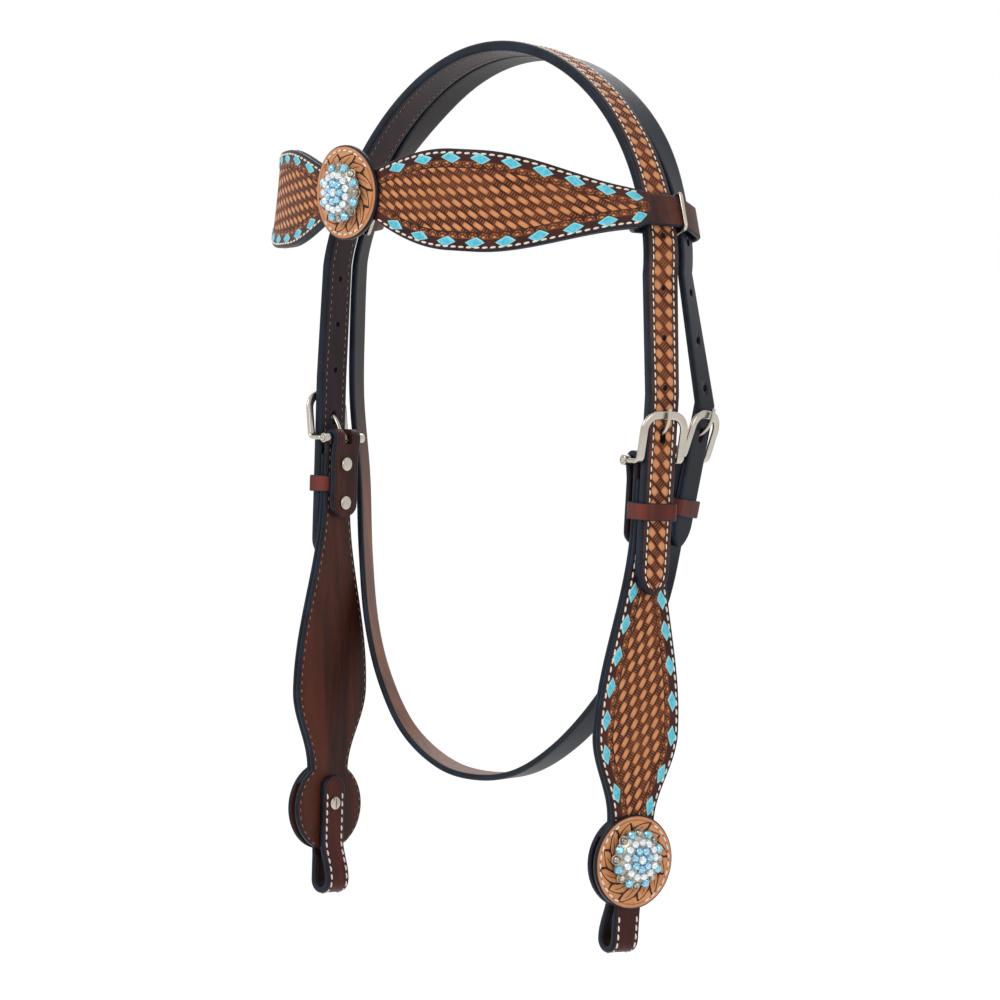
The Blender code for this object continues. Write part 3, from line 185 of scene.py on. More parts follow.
BROW_HALF_SPAN = 0.1305
BROW_FRONT = 0.0845
BROW_CENTRE = -0.0145
BROW_FRONT_DROP = 0.0745
BROW_SIDE_DROP = 0.0828
BROW_LEAN_POWER = 2.5
BROW_LAST_ANGLE = math.radians(84)
LOOP_ANGLE = math.radians(71.5)
LOOP_SPREAD = math.radians(5)
LOOP_CLEARANCE = 0.0018
LOOP_HEIGHT = 0.017
BROW_WAIST_HEIGHT = 0.0262
BROW_WIDEST_HEIGHT = 0.0516
BROW_NECK_HEIGHT = 0.0208
BROW_WAIST_RUN = 0.020
BROW_WIDE_START = 0.068
BROW_WIDE_END = 0.082
BROW_NECK_RUN = 0.172
ROSETTE_RADIUS = 0.0245
RING_WIRE = 0.0008
RING_CORNER = 0.002

THROAT_BAR_X = 0.118
THROAT_BAR_Y = 0.024
THROAT_YAW = math.radians(-15)
THROAT_LEAN_OUT = math.radians(5)
THROAT_LEAN_BACK = math.radians(10)
THROAT_BILLET_RISE = 0.029
THROAT_BILLET_BELOW_BAR = 0.046
THROAT_DROP = 0.39
THROAT_BACK = 0.0125
THROAT_ROUTE_SHARES = (
    (-1.065, 1.17, 0.385, 29),
    (-1.083, 1.28, 0.487, 30),
    (-1.065, 1.48, 0.6, 31),
    (-1.004, 1.11, 0.705, 33),
    (-0.91, 0.66, 0.805, 33),
    (-0.815, 0.64, 0.885, 31),
    (-0.665, 0.72, 0.952, 27),
    (-0.445, 0.86, 0.992, 20),
    (-0.205, 0.95, 1.0, 10),
    (0.04, 1.0, 0.985, 1),
    (0.28, 1.04, 0.943, -6),
    (0.505, 1.08, 0.882, -11),
    (0.69, 1.12, 0.812, -14),
    (0.815, 1.06, 0.738, -16),
)

# Levels outward from a buckle bar's axis
LINING_IN = FOLD_RADIUS
LINING_OUT = LINING_IN + LINING_PLY
OVERLAY_IN = LINING_OUT + SEAT_GAP
OVERLAY_OUT = OVERLAY_IN + TOOLED_PLY
BILLET_IN = OVERLAY_OUT + SEAT_GAP
BILLET_PLIES = LINING_PLY + SEAT_GAP + TOOLED_PLY
BILLET_OUT = BILLET_IN + BILLET_PLIES
DISK_IN = OVERLAY_OUT + SEAT_GAP
DISK_OUT = DISK_IN + DISK_PLY
KEEPER_ROOM = KEEPER_PLY + SEAT_GAP + TURNBACK_SLACK
THROAT_OUT = FOLD_RADIUS + THROAT_PLY
THROAT_BILLET_IN = THROAT_OUT + SEAT_GAP
THROAT_BILLET_OUT = THROAT_BILLET_IN + THROAT_PLY
SCREW_DROP = DISK_DROP - SCREW_RISE

# Rounding of the shown edges
STRAP_EDGE = 0.0009
CROWN_EDGE = 0.0013
LATCH_EDGE = 0.0011
WEB_EDGE = 0.0004
LINING_EDGE = 0.0012
TOOLED_EDGE = 0.001
BIT_EDGE = 0.0013
KEEPER_EDGE = 0.0007

# Fineness of the shown meshes
FACE_COLUMNS = 8
EDGE_STEPS = 4
ARCH_STEPS = 56
BROW_STEPS = 84
THROAT_STEPS = 9
PANEL_STEPS = 40
ROUND_STEPS = 64
DISC_RINGS = 14
HOLE_SIDES = 20
ARC_ROW_STEPS = 90
FOLD_STEPS = 14
BRIDGE_STEPS = 16
ROW_STEP = 0.0006
DISC_FOOT_ROUND = 0.0002
BEAD_SIDES = 18
GEM_SIDES = 8
STITCH_SIDES = 6
LOZENGE_SIDES = 28
SHARP_ANGLE = math.radians(50)

# Trim
STITCH_INSET = 0.0021
STITCH_PITCH = 0.0045
STITCH_LENGTH = 0.0033
STITCH_RADIUS = 0.00055
STITCH_SLANT = math.radians(4)
STITCH_SHAPE = ((-1, 0.0), (-0.82, 0.72), (-0.3, 1.0), (0.3, 1.0), (0.82, 0.72), (1, 0.0))
DIM_STITCH = (0.0022, 0.00028)
CROWN_STITCH_INSET = 0.0033
CROWN_STITCH_PITCH = 0.004
BIT_STITCH_INSET = 0.0024
RING_STITCH_RADIUS = 0.0217
BROW_STITCH_START = 0.023
BROW_STITCH_END = 0.166
LACE_INSET = 0.0046
LACE_LENGTH = 0.0112
LACE_WIDTH = 0.0056
LACE_POINT = 1.8
LACE_SKEW = 0.35
LOZENGE_SHAPE = ((1.0, 0.0), (0.94, 0.45), (0.78, 0.78), (0.5, 0.95), (0.22, 1.0))
LACE_FRONT_DROPS = (0.051, 0.0672, 0.0834, 0.0998, 0.1158, 0.1326, 0.150, 0.170)
LACE_BACK_DROPS = (0.0545, 0.0708, 0.0868, 0.1048, 0.1232, 0.1412, 0.1606, 0.1772)
BROW_LACE_START = 0.0355
BROW_LACE_PITCH = 0.0161
BROW_LACE_COUNT = 9
HOLE_TRIM = -0.0004
HOLE_LIFT = 0.0028
CROWN_HOLES = 4
CROWN_HOLE_RADIUS = 0.0014

# Tooling, as relief in the materials
BORDER_WIDTH = 0.0068
CROWN_BORDER = 0.0043
STAMP_WIDTH = 0.0029
STAMP_PITCH = 0.0057
STAMP_REACH = 0.0026
STAMP_RIBS = 7
BAR_PITCH = 0.00145
PETALS = 6
PETAL_START = 0.009
BORDER_RELIEF = 0.00062
TOOLED_RELIEF = 0.00075
CROWN_BORDER_RELIEF = 0.0005
CROWN_RELIEF = 0.0006
PETAL_RELIEF = 0.0005
LOW_INNER_LEVELS = (-0.17, -0.27)

# Light and camera
WHITE = (1, 1, 1, 1)
ROOM_LIGHT = 0.62
FLOOR_LEVEL = -0.95
FLOOR_GLOW = 0.45
FLOOR_DARK = (0.86, 0.86, 0.86, 1)
FLOOR_LIGHT = (0.9, 0.9, 0.9, 1)
LAMPS = (
    ("key", (-0.3, -1.9, 1.3), (0, 0, -0.2), 1.2, 17),
    ("fill", (2.1, -0.2, 0.5), (0, 0, -0.25), 1.2, 9),
    ("back", (-1.2, 1.4, 0.9), (0, 0, -0.2), 1.0, 7),
)
CAMERA_PLACE = (1.7389, -1.4591, -0.0706)
CAMERA_AZIMUTH = math.radians(50)
CAMERA_PITCH = math.radians(4.24)
CAMERA_LENS = 153
CAMERA_SENSOR = 36

MIRROR_X = Matrix.Diagonal((-1, 1, 1, 1))
MIRROR_Y = Matrix.Diagonal((1, -1, 1, 1))


def srgb(red, green, blue):
    """A colour given as it is seen, 0 to 255, as linear RGBA."""
    channels = []
    for value in (red, green, blue):
        share = value / 255
        channels.append(share / 12.92 if share <= 0.04045 else ((share + 0.055) / 1.055) ** 2.4)
    return (*channels, 1.0)


TAN_HIGH = srgb(222, 152, 102)
TAN_MID = srgb(166, 96, 56)
TAN_LOW = srgb(58, 28, 20)
BORDER_BROWN = srgb(84, 38, 28)
BORDER_DARK = srgb(44, 20, 17)
LINING_BROWN = srgb(84, 42, 30)
LINING_DARK = srgb(44, 20, 16)
EDGE_NAVY = srgb(26, 40, 56)
EDGE_BLACK = srgb(12, 18, 27)


def blend(first, second, share):
    """A number, a vector or a shader value between two others."""
    return first + (second - first) * share


def spread(start, end, steps, first=0):
    """Numbers evenly from start to end, beginning at step first."""
    return [start + (end - start) * step / steps for step in range(first, steps + 1)]


def polar(radius, angle):
    """Two coordinates from a distance and a direction."""
    return radius * math.cos(angle), radius * math.sin(angle)


def fan(count, turn=0.0):
    """Directions evenly round a full turn, the first turned on by a share of a step."""
    return [FULL_TURN * (step + turn) / count for step in range(count)]


def operation(kind):
    """A method of Value that puts it through one kind of Math node."""

    def apply(value, *others):
        return value.math(kind, *others)

    return apply


class Value:
    """A number socket of a node tree that can be used in sums."""

    def __init__(self, tree, socket):
        self.tree = tree
        self.socket = socket

    def math(self, kind, *others):
        """This value put through a Math node with others."""
        node = self.tree.nodes.new("ShaderNodeMath")
        node.operation = kind
        for entry, item in zip(node.inputs, (self, *others)):
            if isinstance(item, Value):
                self.tree.links.new(item.socket, entry)
            else:
                entry.default_value = item
        return Value(self.tree, node.outputs[0])

    __add__ = __radd__ = operation("ADD")
    __sub__ = operation("SUBTRACT")
    __mul__ = __rmul__ = operation("MULTIPLY")
    size = operation("ABSOLUTE")
    floor = operation("FLOOR")
    fract = operation("FRACT")
    cosine = operation("COSINE")
    root = operation("SQRT")
    angle_over = operation("ARCTAN2")
    most = operation("MAXIMUM")

    def __rsub__(self, other):
        return (self * -1) + other

    def step(self, low, high, start=0.0, end=1.0):
        """Ease from start to end as the value goes from low to high."""
        node = self.tree.nodes.new("ShaderNodeMapRange")
        node.interpolation_type = "SMOOTHSTEP"
        self.tree.links.new(self.socket, node.inputs["Value"])
        ends = {"From Min": low, "From Max": high, "To Min": start, "To Max": end}
        for name, number in ends.items():
            node.inputs[name].default_value = number
        return Value(self.tree, node.outputs["Result"])


class Paint:
    """A material's node tree with short ways to add nodes."""

    def __init__(self, name):
        self.material = bpy.data.materials.new(name)
        self.material.use_nodes = True
        self.tree = self.material.node_tree
        self.shader = self.tree.nodes["Principled BSDF"]

    def node(self, kind, **entries):
        """A new node with some of its inputs linked or set."""
        node = self.tree.nodes.new(kind)
        for name, item in entries.items():
            self.feed(item, node.inputs[name])
        return node

    def parts(self, vector):
        """The three numbers of a vector socket as values."""
        split = self.node("ShaderNodeSeparateXYZ", Vector=vector)
        return [Value(self.tree, socket) for socket in split.outputs]

    def surface_map(self, name):
        """The two coordinates of a UV map as values."""
        node = self.node("ShaderNodeUVMap")
        node.uv_map = name
        return self.parts(node.outputs["UV"])[:2]

    def place(self):
        """The object's own space."""
        return self.node("ShaderNodeTexCoord").outputs["Object"]

    def noise(self, scale, detail=4.0, rough=0.6, stretch=(1, 1, 1), warp=0.0):
        """Noise over the object's own space, 0 to 1 about 0.5."""
        turn = self.node("ShaderNodeMapping", Vector=self.place(), Scale=stretch)
        sizes = {"Scale": scale, "Detail": detail, "Roughness": rough, "Distortion": warp}
        node = self.node("ShaderNodeTexNoise", Vector=turn.outputs["Vector"], **sizes)
        return Value(self.tree, node.outputs["Fac"])

    def level(self):
        """Height above the object's own origin."""
        return self.parts(self.place())[2]

    def cells(self, scale):
        """Distance to the nearest point of a Voronoi pattern."""
        node = self.node("ShaderNodeTexVoronoi", Vector=self.place(), Scale=scale)
        return Value(self.tree, node.outputs["Distance"])

    def mix(self, share, first, second):
        """A colour between two others."""
        node = self.node("ShaderNodeMix")
        node.data_type = "RGBA"
        for item, entry in ((share, "Factor"), (first, 6), (second, 7)):
            self.feed(item, node.inputs[entry])
        return node.outputs[2]

    def feed(self, item, entry):
        """Link a value or a colour to an input, or set it there."""
        if isinstance(item, Value):
            item = item.socket
        if isinstance(item, bpy.types.NodeSocket):
            self.tree.links.new(item, entry)
        else:
            entry.default_value = item

    def finish(self, color, roughness, height=None, **fixed):
        """Connect colour, roughness and relief in metres, and set the shader's own numbers."""
        self.feed(color, self.shader.inputs["Base Color"])
        self.feed(roughness, self.shader.inputs["Roughness"])
        if height is not None:
            bump = self.node("ShaderNodeBump", Strength=1.0, Distance=1.0, Height=height)
            self.feed(bump.outputs["Normal"], self.shader.inputs["Normal"])
        for name, number in fixed.items():
            self.shader.inputs[name.replace("_", " ")].default_value = number
        return self.material


def speckled(name, noise, span, dark, light, rough, relief=None, **fixed):
    """A material of two colours, whose noise also drives its roughness and its relief."""
    paint = Paint(name)
    cloud = paint.noise(*noise)
    tint = paint.mix(cloud.step(*span) if span else cloud, srgb(*dark), srgb(*light))
    roughness = cloud * rough[0] + rough[1]
    height = cloud * relief if relief else None
    return paint.finish(tint, roughness, height, **fixed)


def weave(run, side, pitch, period=10.6 * MM, hump=6.3 * MM, degrees=-30, shift=0.55, phase=0.0):
    """Height from 0 to 1 of a basketweave whose rows run at an angle to the strap."""
    turn = math.radians(degrees)
    along = run * math.cos(turn) + side * math.sin(turn)
    over = side * math.cos(turn) - run * math.sin(turn)
    rows = over * (1 / pitch)
    row = rows.floor()
    across = (rows - row - 0.5) * 2
    place = (along * (1 / period) + row * shift + phase).fract() - 0.5
    reach = (place * (2 * period / hump)).size()
    on_hump = reach.step(1.06, 0.9)
    ridge = across.size().step(0.96, 0.66)
    crown = 1 - reach * reach * 0.4 - across * across * 0.42
    bars = ((0.5 - place.size()) * (period / BAR_PITCH * FULL_TURN)).cosine() * 0.5 + 0.5
    low = bars * across.size().step(0.9, 0.5) * 0.5
    return ridge * (on_hump * crown + (1 - on_hump) * low)


def stamps(run, edge):
    """Height from 0 to 1 of a row of half-round border stamps standing on a line."""
    offset = ((run * (1 / STAMP_PITCH)).fract() - 0.5) * STAMP_PITCH
    radius = (offset * offset + edge * edge).root()
    angle = edge.angle_over(offset)
    inside = radius.step(STAMP_REACH * 1.02, STAMP_REACH * 0.9)
    ribs = (angle * STAMP_RIBS).cosine() * 0.2 + 0.5
    core = radius.step(STAMP_REACH * 0.4, STAMP_REACH * 0.3)
    groove = (radius - STAMP_REACH * 0.62).size().step(0.0, STAMP_REACH * 0.12)
    return inside * (ribs * (1 - core) + core * 0.9) * groove


def leather_ground(paint):
    """Fine grain in metres of height and a slow mottle about 0.5."""
    grain = paint.noise(900, 3, 0.65) * (0.05 * MM) + paint.cells(1400) * (0.04 * MM)
    return grain, paint.noise(70, 4, 0.6)


def groove_at(value, place, wide, narrow):
    """1 on the line where a value comes to a place, easing to 0 beside it."""
    return (value - place).size().step(wide, narrow)


def zones(paint, outer, inner):
    """Lay an outer pattern, a painted edge and a lining on one strap and finish the material."""
    gap, layer = paint.surface_map("rim")
    grain, mottle = leather_ground(paint)
    edge = paint.mix(mottle.step(0.3, 0.75), EDGE_BLACK, EDGE_NAVY)
    top = layer.step(0.72, 0.78) * gap.step(0.1 * MM, 0.3 * MM)
    bottom = layer.step(0.28, 0.22)
    color, height, rough = outer
    inner_color, inner_height, inner_rough = inner
    mixed = paint.mix(bottom, paint.mix(top, edge, color), inner_color)
    relief = height * top + inner_height * bottom + grain
    roughness = blend(blend(mottle * 0.16 + 0.34, rough, top), inner_rough, bottom)
    return paint.finish(mixed, roughness, relief, Specular_IOR_Level=0.18)


def tooled_color(paint, height, mottle):
    """Antiqued tan: dark where the tooling is deep, worn pale where it is high."""
    deep = paint.mix(height.step(0.1, 0.58), TAN_LOW, TAN_MID)
    worn = paint.mix(height.step(0.5, 0.96), deep, TAN_HIGH)
    return paint.mix(mottle.step(0.35, 0.8, 0.0, 0.35), worn, TAN_MID)


def smooth_lining(paint, base, dark, seam=None):
    """A smooth lining with long streaks, and a dark line of stitch holes at its seam."""
    streak = paint.noise(60, 5, 0.7, (1, 1, 0.12), 0.6)
    color = paint.mix(streak.step(0.3, 0.75), dark, base)
    height = streak * (0.04 * MM)
    if seam is not None:
        line = groove_at(paint.surface_map("rim")[0], seam, 0.75 * MM, 0.15 * MM)
        color = paint.mix(line * 0.5, color, EDGE_BLACK)
        height = height - line * (0.12 * MM)
    return color, height, streak * 0.18 + 0.36


def panel_leather(name, pitch):
    """The tooled face of the browband or of a cheek piece."""
    paint = Paint(name)
    run, side = paint.surface_map("face")
    gap, _ = paint.surface_map("rim")
    mottle = paint.noise(60, 4, 0.6)
    field = (gap - (BORDER_WIDTH + STAMP_WIDTH)).step(-0.1 * MM, 0.15 * MM)
    braid = weave(run, side, pitch)
    edge = gap - BORDER_WIDTH
    band = edge.step(-0.12 * MM, 0.12 * MM)
    row = stamps(run, edge)
    tooled = blend(row, braid, field)
    tan = tooled_color(paint, tooled, mottle)
    rib = (edge + 0.35 * MM).size().step(0.4 * MM, 0.1 * MM)
    brown = paint.mix(mottle.step(0.3, 0.75), BORDER_DARK, BORDER_BROWN)
    brown = paint.mix(rib * 0.55, brown, TAN_MID)
    line = groove_at(gap, STITCH_INSET, 0.85 * MM, 0.2 * MM)
    brown = paint.mix(line * 0.6, brown, BORDER_DARK)
    color = paint.mix(band, brown, tan)
    plain = (1 - band) * (BORDER_RELIEF + rib * (0.1 * MM) - line * (0.18 * MM))
    height = plain + band * tooled * TOOLED_RELIEF
    rough = blend(mottle * 0.2 + 0.34, 0.62 - tooled * 0.2, band)
    back = smooth_lining(paint, LINING_BROWN, LINING_DARK, STITCH_INSET)
    return zones(paint, (color, height, rough), back)


def crown_leather(name):
    """The crown strap: a narrow woven field between dark stitched borders."""
    paint = Paint(name)
    run, side = paint.surface_map("face")
    gap, _ = paint.surface_map("rim")
    mottle = paint.noise(60, 4, 0.6)
    tooled = weave(run, side, 4.95 * MM, 9.9 * MM, 5.2 * MM, 45, 0.5, 0.25)
    band = (gap - CROWN_BORDER).step(-0.15 * MM, 0.15 * MM)
    tan = tooled_color(paint, tooled, mottle)
    brown = paint.mix(mottle.step(0.3, 0.75), BORDER_DARK, srgb(96, 56, 42))
    line = groove_at(gap, CROWN_STITCH_INSET, 0.8 * MM, 0.2 * MM)
    brown = paint.mix(line * 0.5, brown, BORDER_DARK)
    color = paint.mix(band, brown, tan)
    plain = (1 - band) * (CROWN_BORDER_RELIEF - line * (0.15 * MM))
    height = plain + band * tooled * CROWN_RELIEF
    rough = blend(mottle * 0.2 + 0.34, 0.62 - tooled * 0.2, band)
    back = smooth_lining(paint, srgb(54, 34, 38), srgb(28, 20, 26), 3.4 * MM)
    return zones(paint, (color, height, rough), back)


def plain_leather(name, outer, inner, seams=(None, None), low_inner=None):
    """A smooth strap whose faces take a (light, dark) pair each, the inner one another low down."""
    paint = Paint(name)
    inner = [srgb(*color) for color in inner]
    if low_inner:
        low = paint.level().step(*LOW_INNER_LEVELS)
        inner = [paint.mix(low, color, srgb(*other)) for color, other in zip(inner, low_inner)]
    face = smooth_lining(paint, *(srgb(*color) for color in outer), seams[0])
    back = smooth_lining(paint, *inner, seams[1])
    return zones(paint, face, back)


def petals(paint, x, y):
    """Height from 0 to 1 of a carved flower round a concho, with cut outlines and veins."""
    radius = (x * x + y * y).root()
    angle = y.angle_over(x)
    wobble = (paint.noise(300, 2, 0.5) - 0.5) * (1.5 * MM)
    lean = (radius - 15 * MM) * 60
    level = 1 - radius.step(19.6 * MM, 17.4 * MM) * 0.85
    for turn, tip, swell in ((0.5, 20.4 * MM, 20 * MM), (0.0, 22 * MM, 17 * MM)):
        sector = (angle + lean) * (PETALS / FULL_TURN) + (PETALS + turn)
        offset = (sector.fract() - 0.5).size() * radius * (FULL_TURN / PETALS)
        share = (radius - PETAL_START) * (1 / (tip - PETAL_START))
        room = share * (1 - share) * swell + wobble
        inside = (room - offset).step(-0.05 * MM, 0.15 * MM)
        rim = groove_at(room, offset, 0.85 * MM, 0.4 * MM)
        vein = offset.step(0.42 * MM, 0.1 * MM) * share.step(0.86, 0.7)
        shape = (1 - rim) * (1 - vein * 0.7)
        level = blend(level, shape, inside.most(rim))
    shade = radius.step(18.6 * MM, 16.6 * MM) * 0.35
    return level * (1 - shade), radius


def disk_leather(name):
    """The carved round ply under a concho."""
    paint = Paint(name)
    x, y = paint.surface_map("face")
    mottle = paint.noise(80, 4, 0.6)
    level, radius = petals(paint, x, y)
    tan = paint.mix(mottle.step(0.3, 0.8), srgb(226, 158, 108), srgb(196, 126, 82))
    deep = paint.mix(level.step(0.05, 0.8), srgb(52, 26, 20), tan)
    line = groove_at(radius, RING_STITCH_RADIUS, 0.7 * MM, 0.2 * MM)
    color = paint.mix(line * 0.45, deep, srgb(110, 62, 42))
    gap, _ = paint.surface_map("rim")
    color = paint.mix(gap.step(1.6 * MM, 0.5 * MM) * 0.6, color, srgb(120, 66, 44))
    height = level * PETAL_RELIEF - line * (0.15 * MM)
    back = smooth_lining(paint, LINING_BROWN, LINING_DARK)
    return zones(paint, (color, height, 0.5 - level * 0.12), back)


def nickel_metal(name):
    """Polished plate with faint scratches and a little tarnish."""
    paint = Paint(name)
    cloud = paint.noise(120, 3, 0.5)
    scratch = paint.noise(900, 2, 0.5, (1, 0.15, 0.15))
    tint = paint.mix(cloud.step(0.35, 0.8, 0.0, 0.35), srgb(188, 181, 170), srgb(150, 142, 130))
    roughness = cloud * 0.08 + scratch * 0.06 + 0.15
    return paint.finish(tint, roughness, scratch * (0.004 * MM), Metallic=1.0)


def crystal_glass(name, color, painted_glint):
    """A foil-backed cut stone, its pale second colour speckled over it as painted glints."""
    coat = {"Metallic": 0.55, "Coat_Weight": 1.0, "Coat_Roughness": 0.03}
    # Painted glints: the pale colour speckled over the stone
    return speckled(name, (1500, 2, 0.5), (0.42, 0.58), color, painted_glint, (0.06, 0.05), **coat)


def thread_cotton(name, dark, light, lay):
    """Waxed thread with a twisted lay of a given depth."""
    return speckled(name, (2600, 2, 0.5), (0.35, 0.7), dark, light, (0.2, 0.55), lay)


def lace_leather(name):
    """Turquoise lace, paler towards its edges."""
    paint = Paint(name)
    gap, _ = paint.surface_map("rim")
    mottle = paint.noise(500, 3, 0.6)
    body = paint.mix(mottle.step(0.3, 0.7), srgb(62, 182, 208), srgb(104, 212, 230))
    tint = paint.mix(gap.step(0.35, 0.1), body, srgb(160, 226, 236))
    return paint.finish(tint, mottle * 0.2 + 0.32, mottle * (0.05 * MM))


def ease(share):
    """Rise smoothly from 0 to 1."""
    return (1 - math.cos(HALF_TURN * min(max(share, 0), 1))) / 2


def square_to(vector, axis):
    """The direction of a vector once what lies along an axis is taken off."""
    return (vector - axis * vector.dot(axis)).normalized()


def back_direction(yaw):
    """The direction across a strap, towards the back, with its outer face turned by yaw."""
    return Vector((math.sin(yaw), math.cos(yaw), 0))


def standing_axes(point, *axes):
    """A matrix at a point whose X, Y and Z axes are the three given."""
    return Matrix.Translation(point) @ Matrix(axes).transposed().to_4x4()


def joint_frame(x, y, z, yaw, lean_out, lean_back):
    """Axes at a buckle bar: outward, across and up the strap."""
    up = Vector((math.tan(lean_out), math.tan(lean_back), 1)).normalized()
    outward = Vector((math.cos(yaw), -math.sin(yaw), 0))
    across = up.cross(outward).normalized()
    return standing_axes((x, y, z), across.cross(up), across, up)


NEAR_FRAME = joint_frame(BAR_HALF_SPAN, BAR_SETBACK, -BAR_DROP, CHEEK_YAW, CHEEK_LEAN_OUT, CHEEK_LEAN_BACK)
OFF_FRAME = MIRROR_X @ NEAR_FRAME @ MIRROR_Y
THROAT_FRAME = joint_frame(
    THROAT_BAR_X, THROAT_BAR_Y, -BAR_DROP, THROAT_YAW, THROAT_LEAN_OUT, THROAT_LEAN_BACK
)


def arch_drop_share(angle):
    """How far down its arch the crown is at an angle from the poll."""
    return 1 - abs(math.cos(angle)) ** ARCH_POWER


POLL_LEVEL = ARCH_DEPTH * arch_drop_share(POLL_FLAT_ANGLE) - POLL_SETBACK * math.tan(CROWN_TILT)


def crown_place(angle, offset=0):
    """A place on the crown's underside, offset across it towards the back."""
    drop_share = arch_drop_share(angle)
    setback = blend(POLL_SETBACK, SIDE_SETBACK, drop_share**SETBACK_POWER)
    point = Vector((ARCH_HALF_SPAN * math.sin(angle), setback, POLL_LEVEL - ARCH_DEPTH * drop_share))
    slope = ARCH_POWER * abs(math.cos(angle)) ** (ARCH_POWER - 1) * math.sin(angle)
    tangent = Vector((ARCH_HALF_SPAN * math.cos(angle), 0, -ARCH_DEPTH * slope)).normalized()
    yaw_share = ease((abs(angle) - WEB_END_ANGLE) / (QUARTER_TURN - WEB_END_ANGLE))
    across = back_direction(math.copysign(STRAP_YAW * yaw_share, angle))
    across.z = -math.tan(CROWN_TILT) * math.cos(angle)
    across = square_to(across, tangent)
    return point + across * offset, across, tangent.cross(across)


def rear_edge(angle):
    """How far behind the front strap's middle the throat strap begins, and its turn's share."""
    share = ease((abs(angle) - WEB_END_ANGLE) / (LOOP_ANGLE - WEB_END_ANGLE))
    return STRAP_WIDTH / 2 + blend(POLL_GAP, SIDE_GAP, share), share


def rear_place(angle):
    """A place on the throat strap's inner face over the crown, turned with the horse's neck."""
    _, across, outward = crown_place(angle)
    tangent = across.cross(outward)
    edge, share = rear_edge(angle)
    turned_across = square_to(across.lerp(back_direction(REAR_YAW), share), tangent)
    turned_outward = tangent.cross(turned_across)
    lap = max(-turned_outward.dot(across), 0) * THROAT_PLY
    start = crown_place(angle, edge + lap)[0]
    return start + turned_across * THROAT_WIDTH / 2, turned_across, turned_outward


def between(start, end, steps):
    """Places evenly between two places, without the two themselves."""
    places = []
    for share in spread(0, 1, steps, 1)[:-1]:
        point, across, outward = (a.lerp(b, share) for a, b in zip(start, end))
        places.append((point, across.normalized(), outward.normalized()))
    return places


def local_place(axes, outward, up, across_sign=1):
    """A place in a buckle's frame, its face square to the outward axis."""
    turn = axes.to_3x3()
    return axes @ Vector((outward, 0, up)), turn @ Vector((0, across_sign, 0)), turn @ Vector((1, 0, 0))


def places_along(points, acrosses):
    """A (point, across, outward) place at each point of a route."""
    places = []
    for index, point in enumerate(points):
        before = points[max(index - 1, 0)]
        after = points[min(index + 1, len(points) - 1)]
        tangent = (after - before).normalized()
        outward = tangent.cross(acrosses[index]).normalized()
        places.append((point, outward.cross(tangent), outward))
    return places


def runs_along(points, start=0.0):
    """The distance along a route to each of its points."""
    spans = [(end - begin).length for begin, end in zip(points, points[1:])]
    return list(itertools.accumulate(spans, initial=start))


def smooth_curve(keys, steps):
    """Points of a Catmull-Rom curve through keys, without the first and last key's spans."""
    points = []
    for before, start, end, after in zip(keys, keys[1:], keys[2:], keys[3:]):
        bend_in = (end - before) / 2
        bend_out = (after - start) / 2
        for share in spread(0, 1, steps)[:-1]:
            square = share * share
            cube = square * share
            points.append(
                start * (2 * cube - 3 * square + 1)
                + bend_in * (cube - 2 * square + share)
                + end * (3 * square - 2 * cube)
                + bend_out * (cube - square)
            )
    points.append(keys[-2].copy())
    return points


def tip_half(distance, half):
    """Half width of a strap at a distance from its pointed tip."""
    share = min(max(distance / BILLET_POINT, 0), 1)
    return half * (0.16 + 0.84 * math.sin(QUARTER_TURN * share) ** 0.72)


def fold_places(axes, top_drop, across_sign):
    """Places of a strap's inner face from its outer leg, over the bar, to the turnback's end."""
    keys = [(FOLD_RADIUS, -top_drop)]
    keys += [polar(FOLD_RADIUS, angle) for angle in spread(0, HALF_TURN, FOLD_STEPS)]
    settled = FOLD_RADIUS - KEEPER_ROOM
    for share in spread(0, 1, 6, 1):
        keys.append((blend(-FOLD_RADIUS, settled, ease(share)), -TURNBACK_SETTLE * share))
    keys += [(settled, blend(-TURNBACK_SETTLE, -TURNBACK_LENGTH, share)) for share in TURNBACK_SHARES]
    points = [axes @ Vector((out, 0, up)) for out, up in keys]
    across = axes.to_3x3() @ Vector((0, across_sign, 0))
    return places_along(points, [across] * len(points))


def panel_profile():
    """Distance below the bar and half width of a cheek piece, from its neck to the disk's foot."""
    waist = WAIST_WIDTH / 2
    waist_angle = math.asin(waist / DISK_RADIUS)
    waist_drop = DISK_DROP - DISK_RADIUS * math.cos(waist_angle)
    keys = ((NARROW_LENGTH, STRAP_WIDTH / 2), (WIDEST_DROP, PANEL_WIDTH / 2), (waist_drop, waist))
    profile = []
    for (top, first), (foot, last), steps in zip(keys, keys[1:], (PANEL_STEPS, PANEL_STEPS // 2)):
        for share in spread(0, 1, steps)[:-1]:
            profile.append((blend(top, foot, share), blend(first, last, ease(share))))
    for angle in spread(waist_angle, DISK_FOOT_ANGLE, 24):
        rise, half = polar(DISK_RADIUS, angle)
        profile.append((DISK_DROP - rise, half))
    return profile


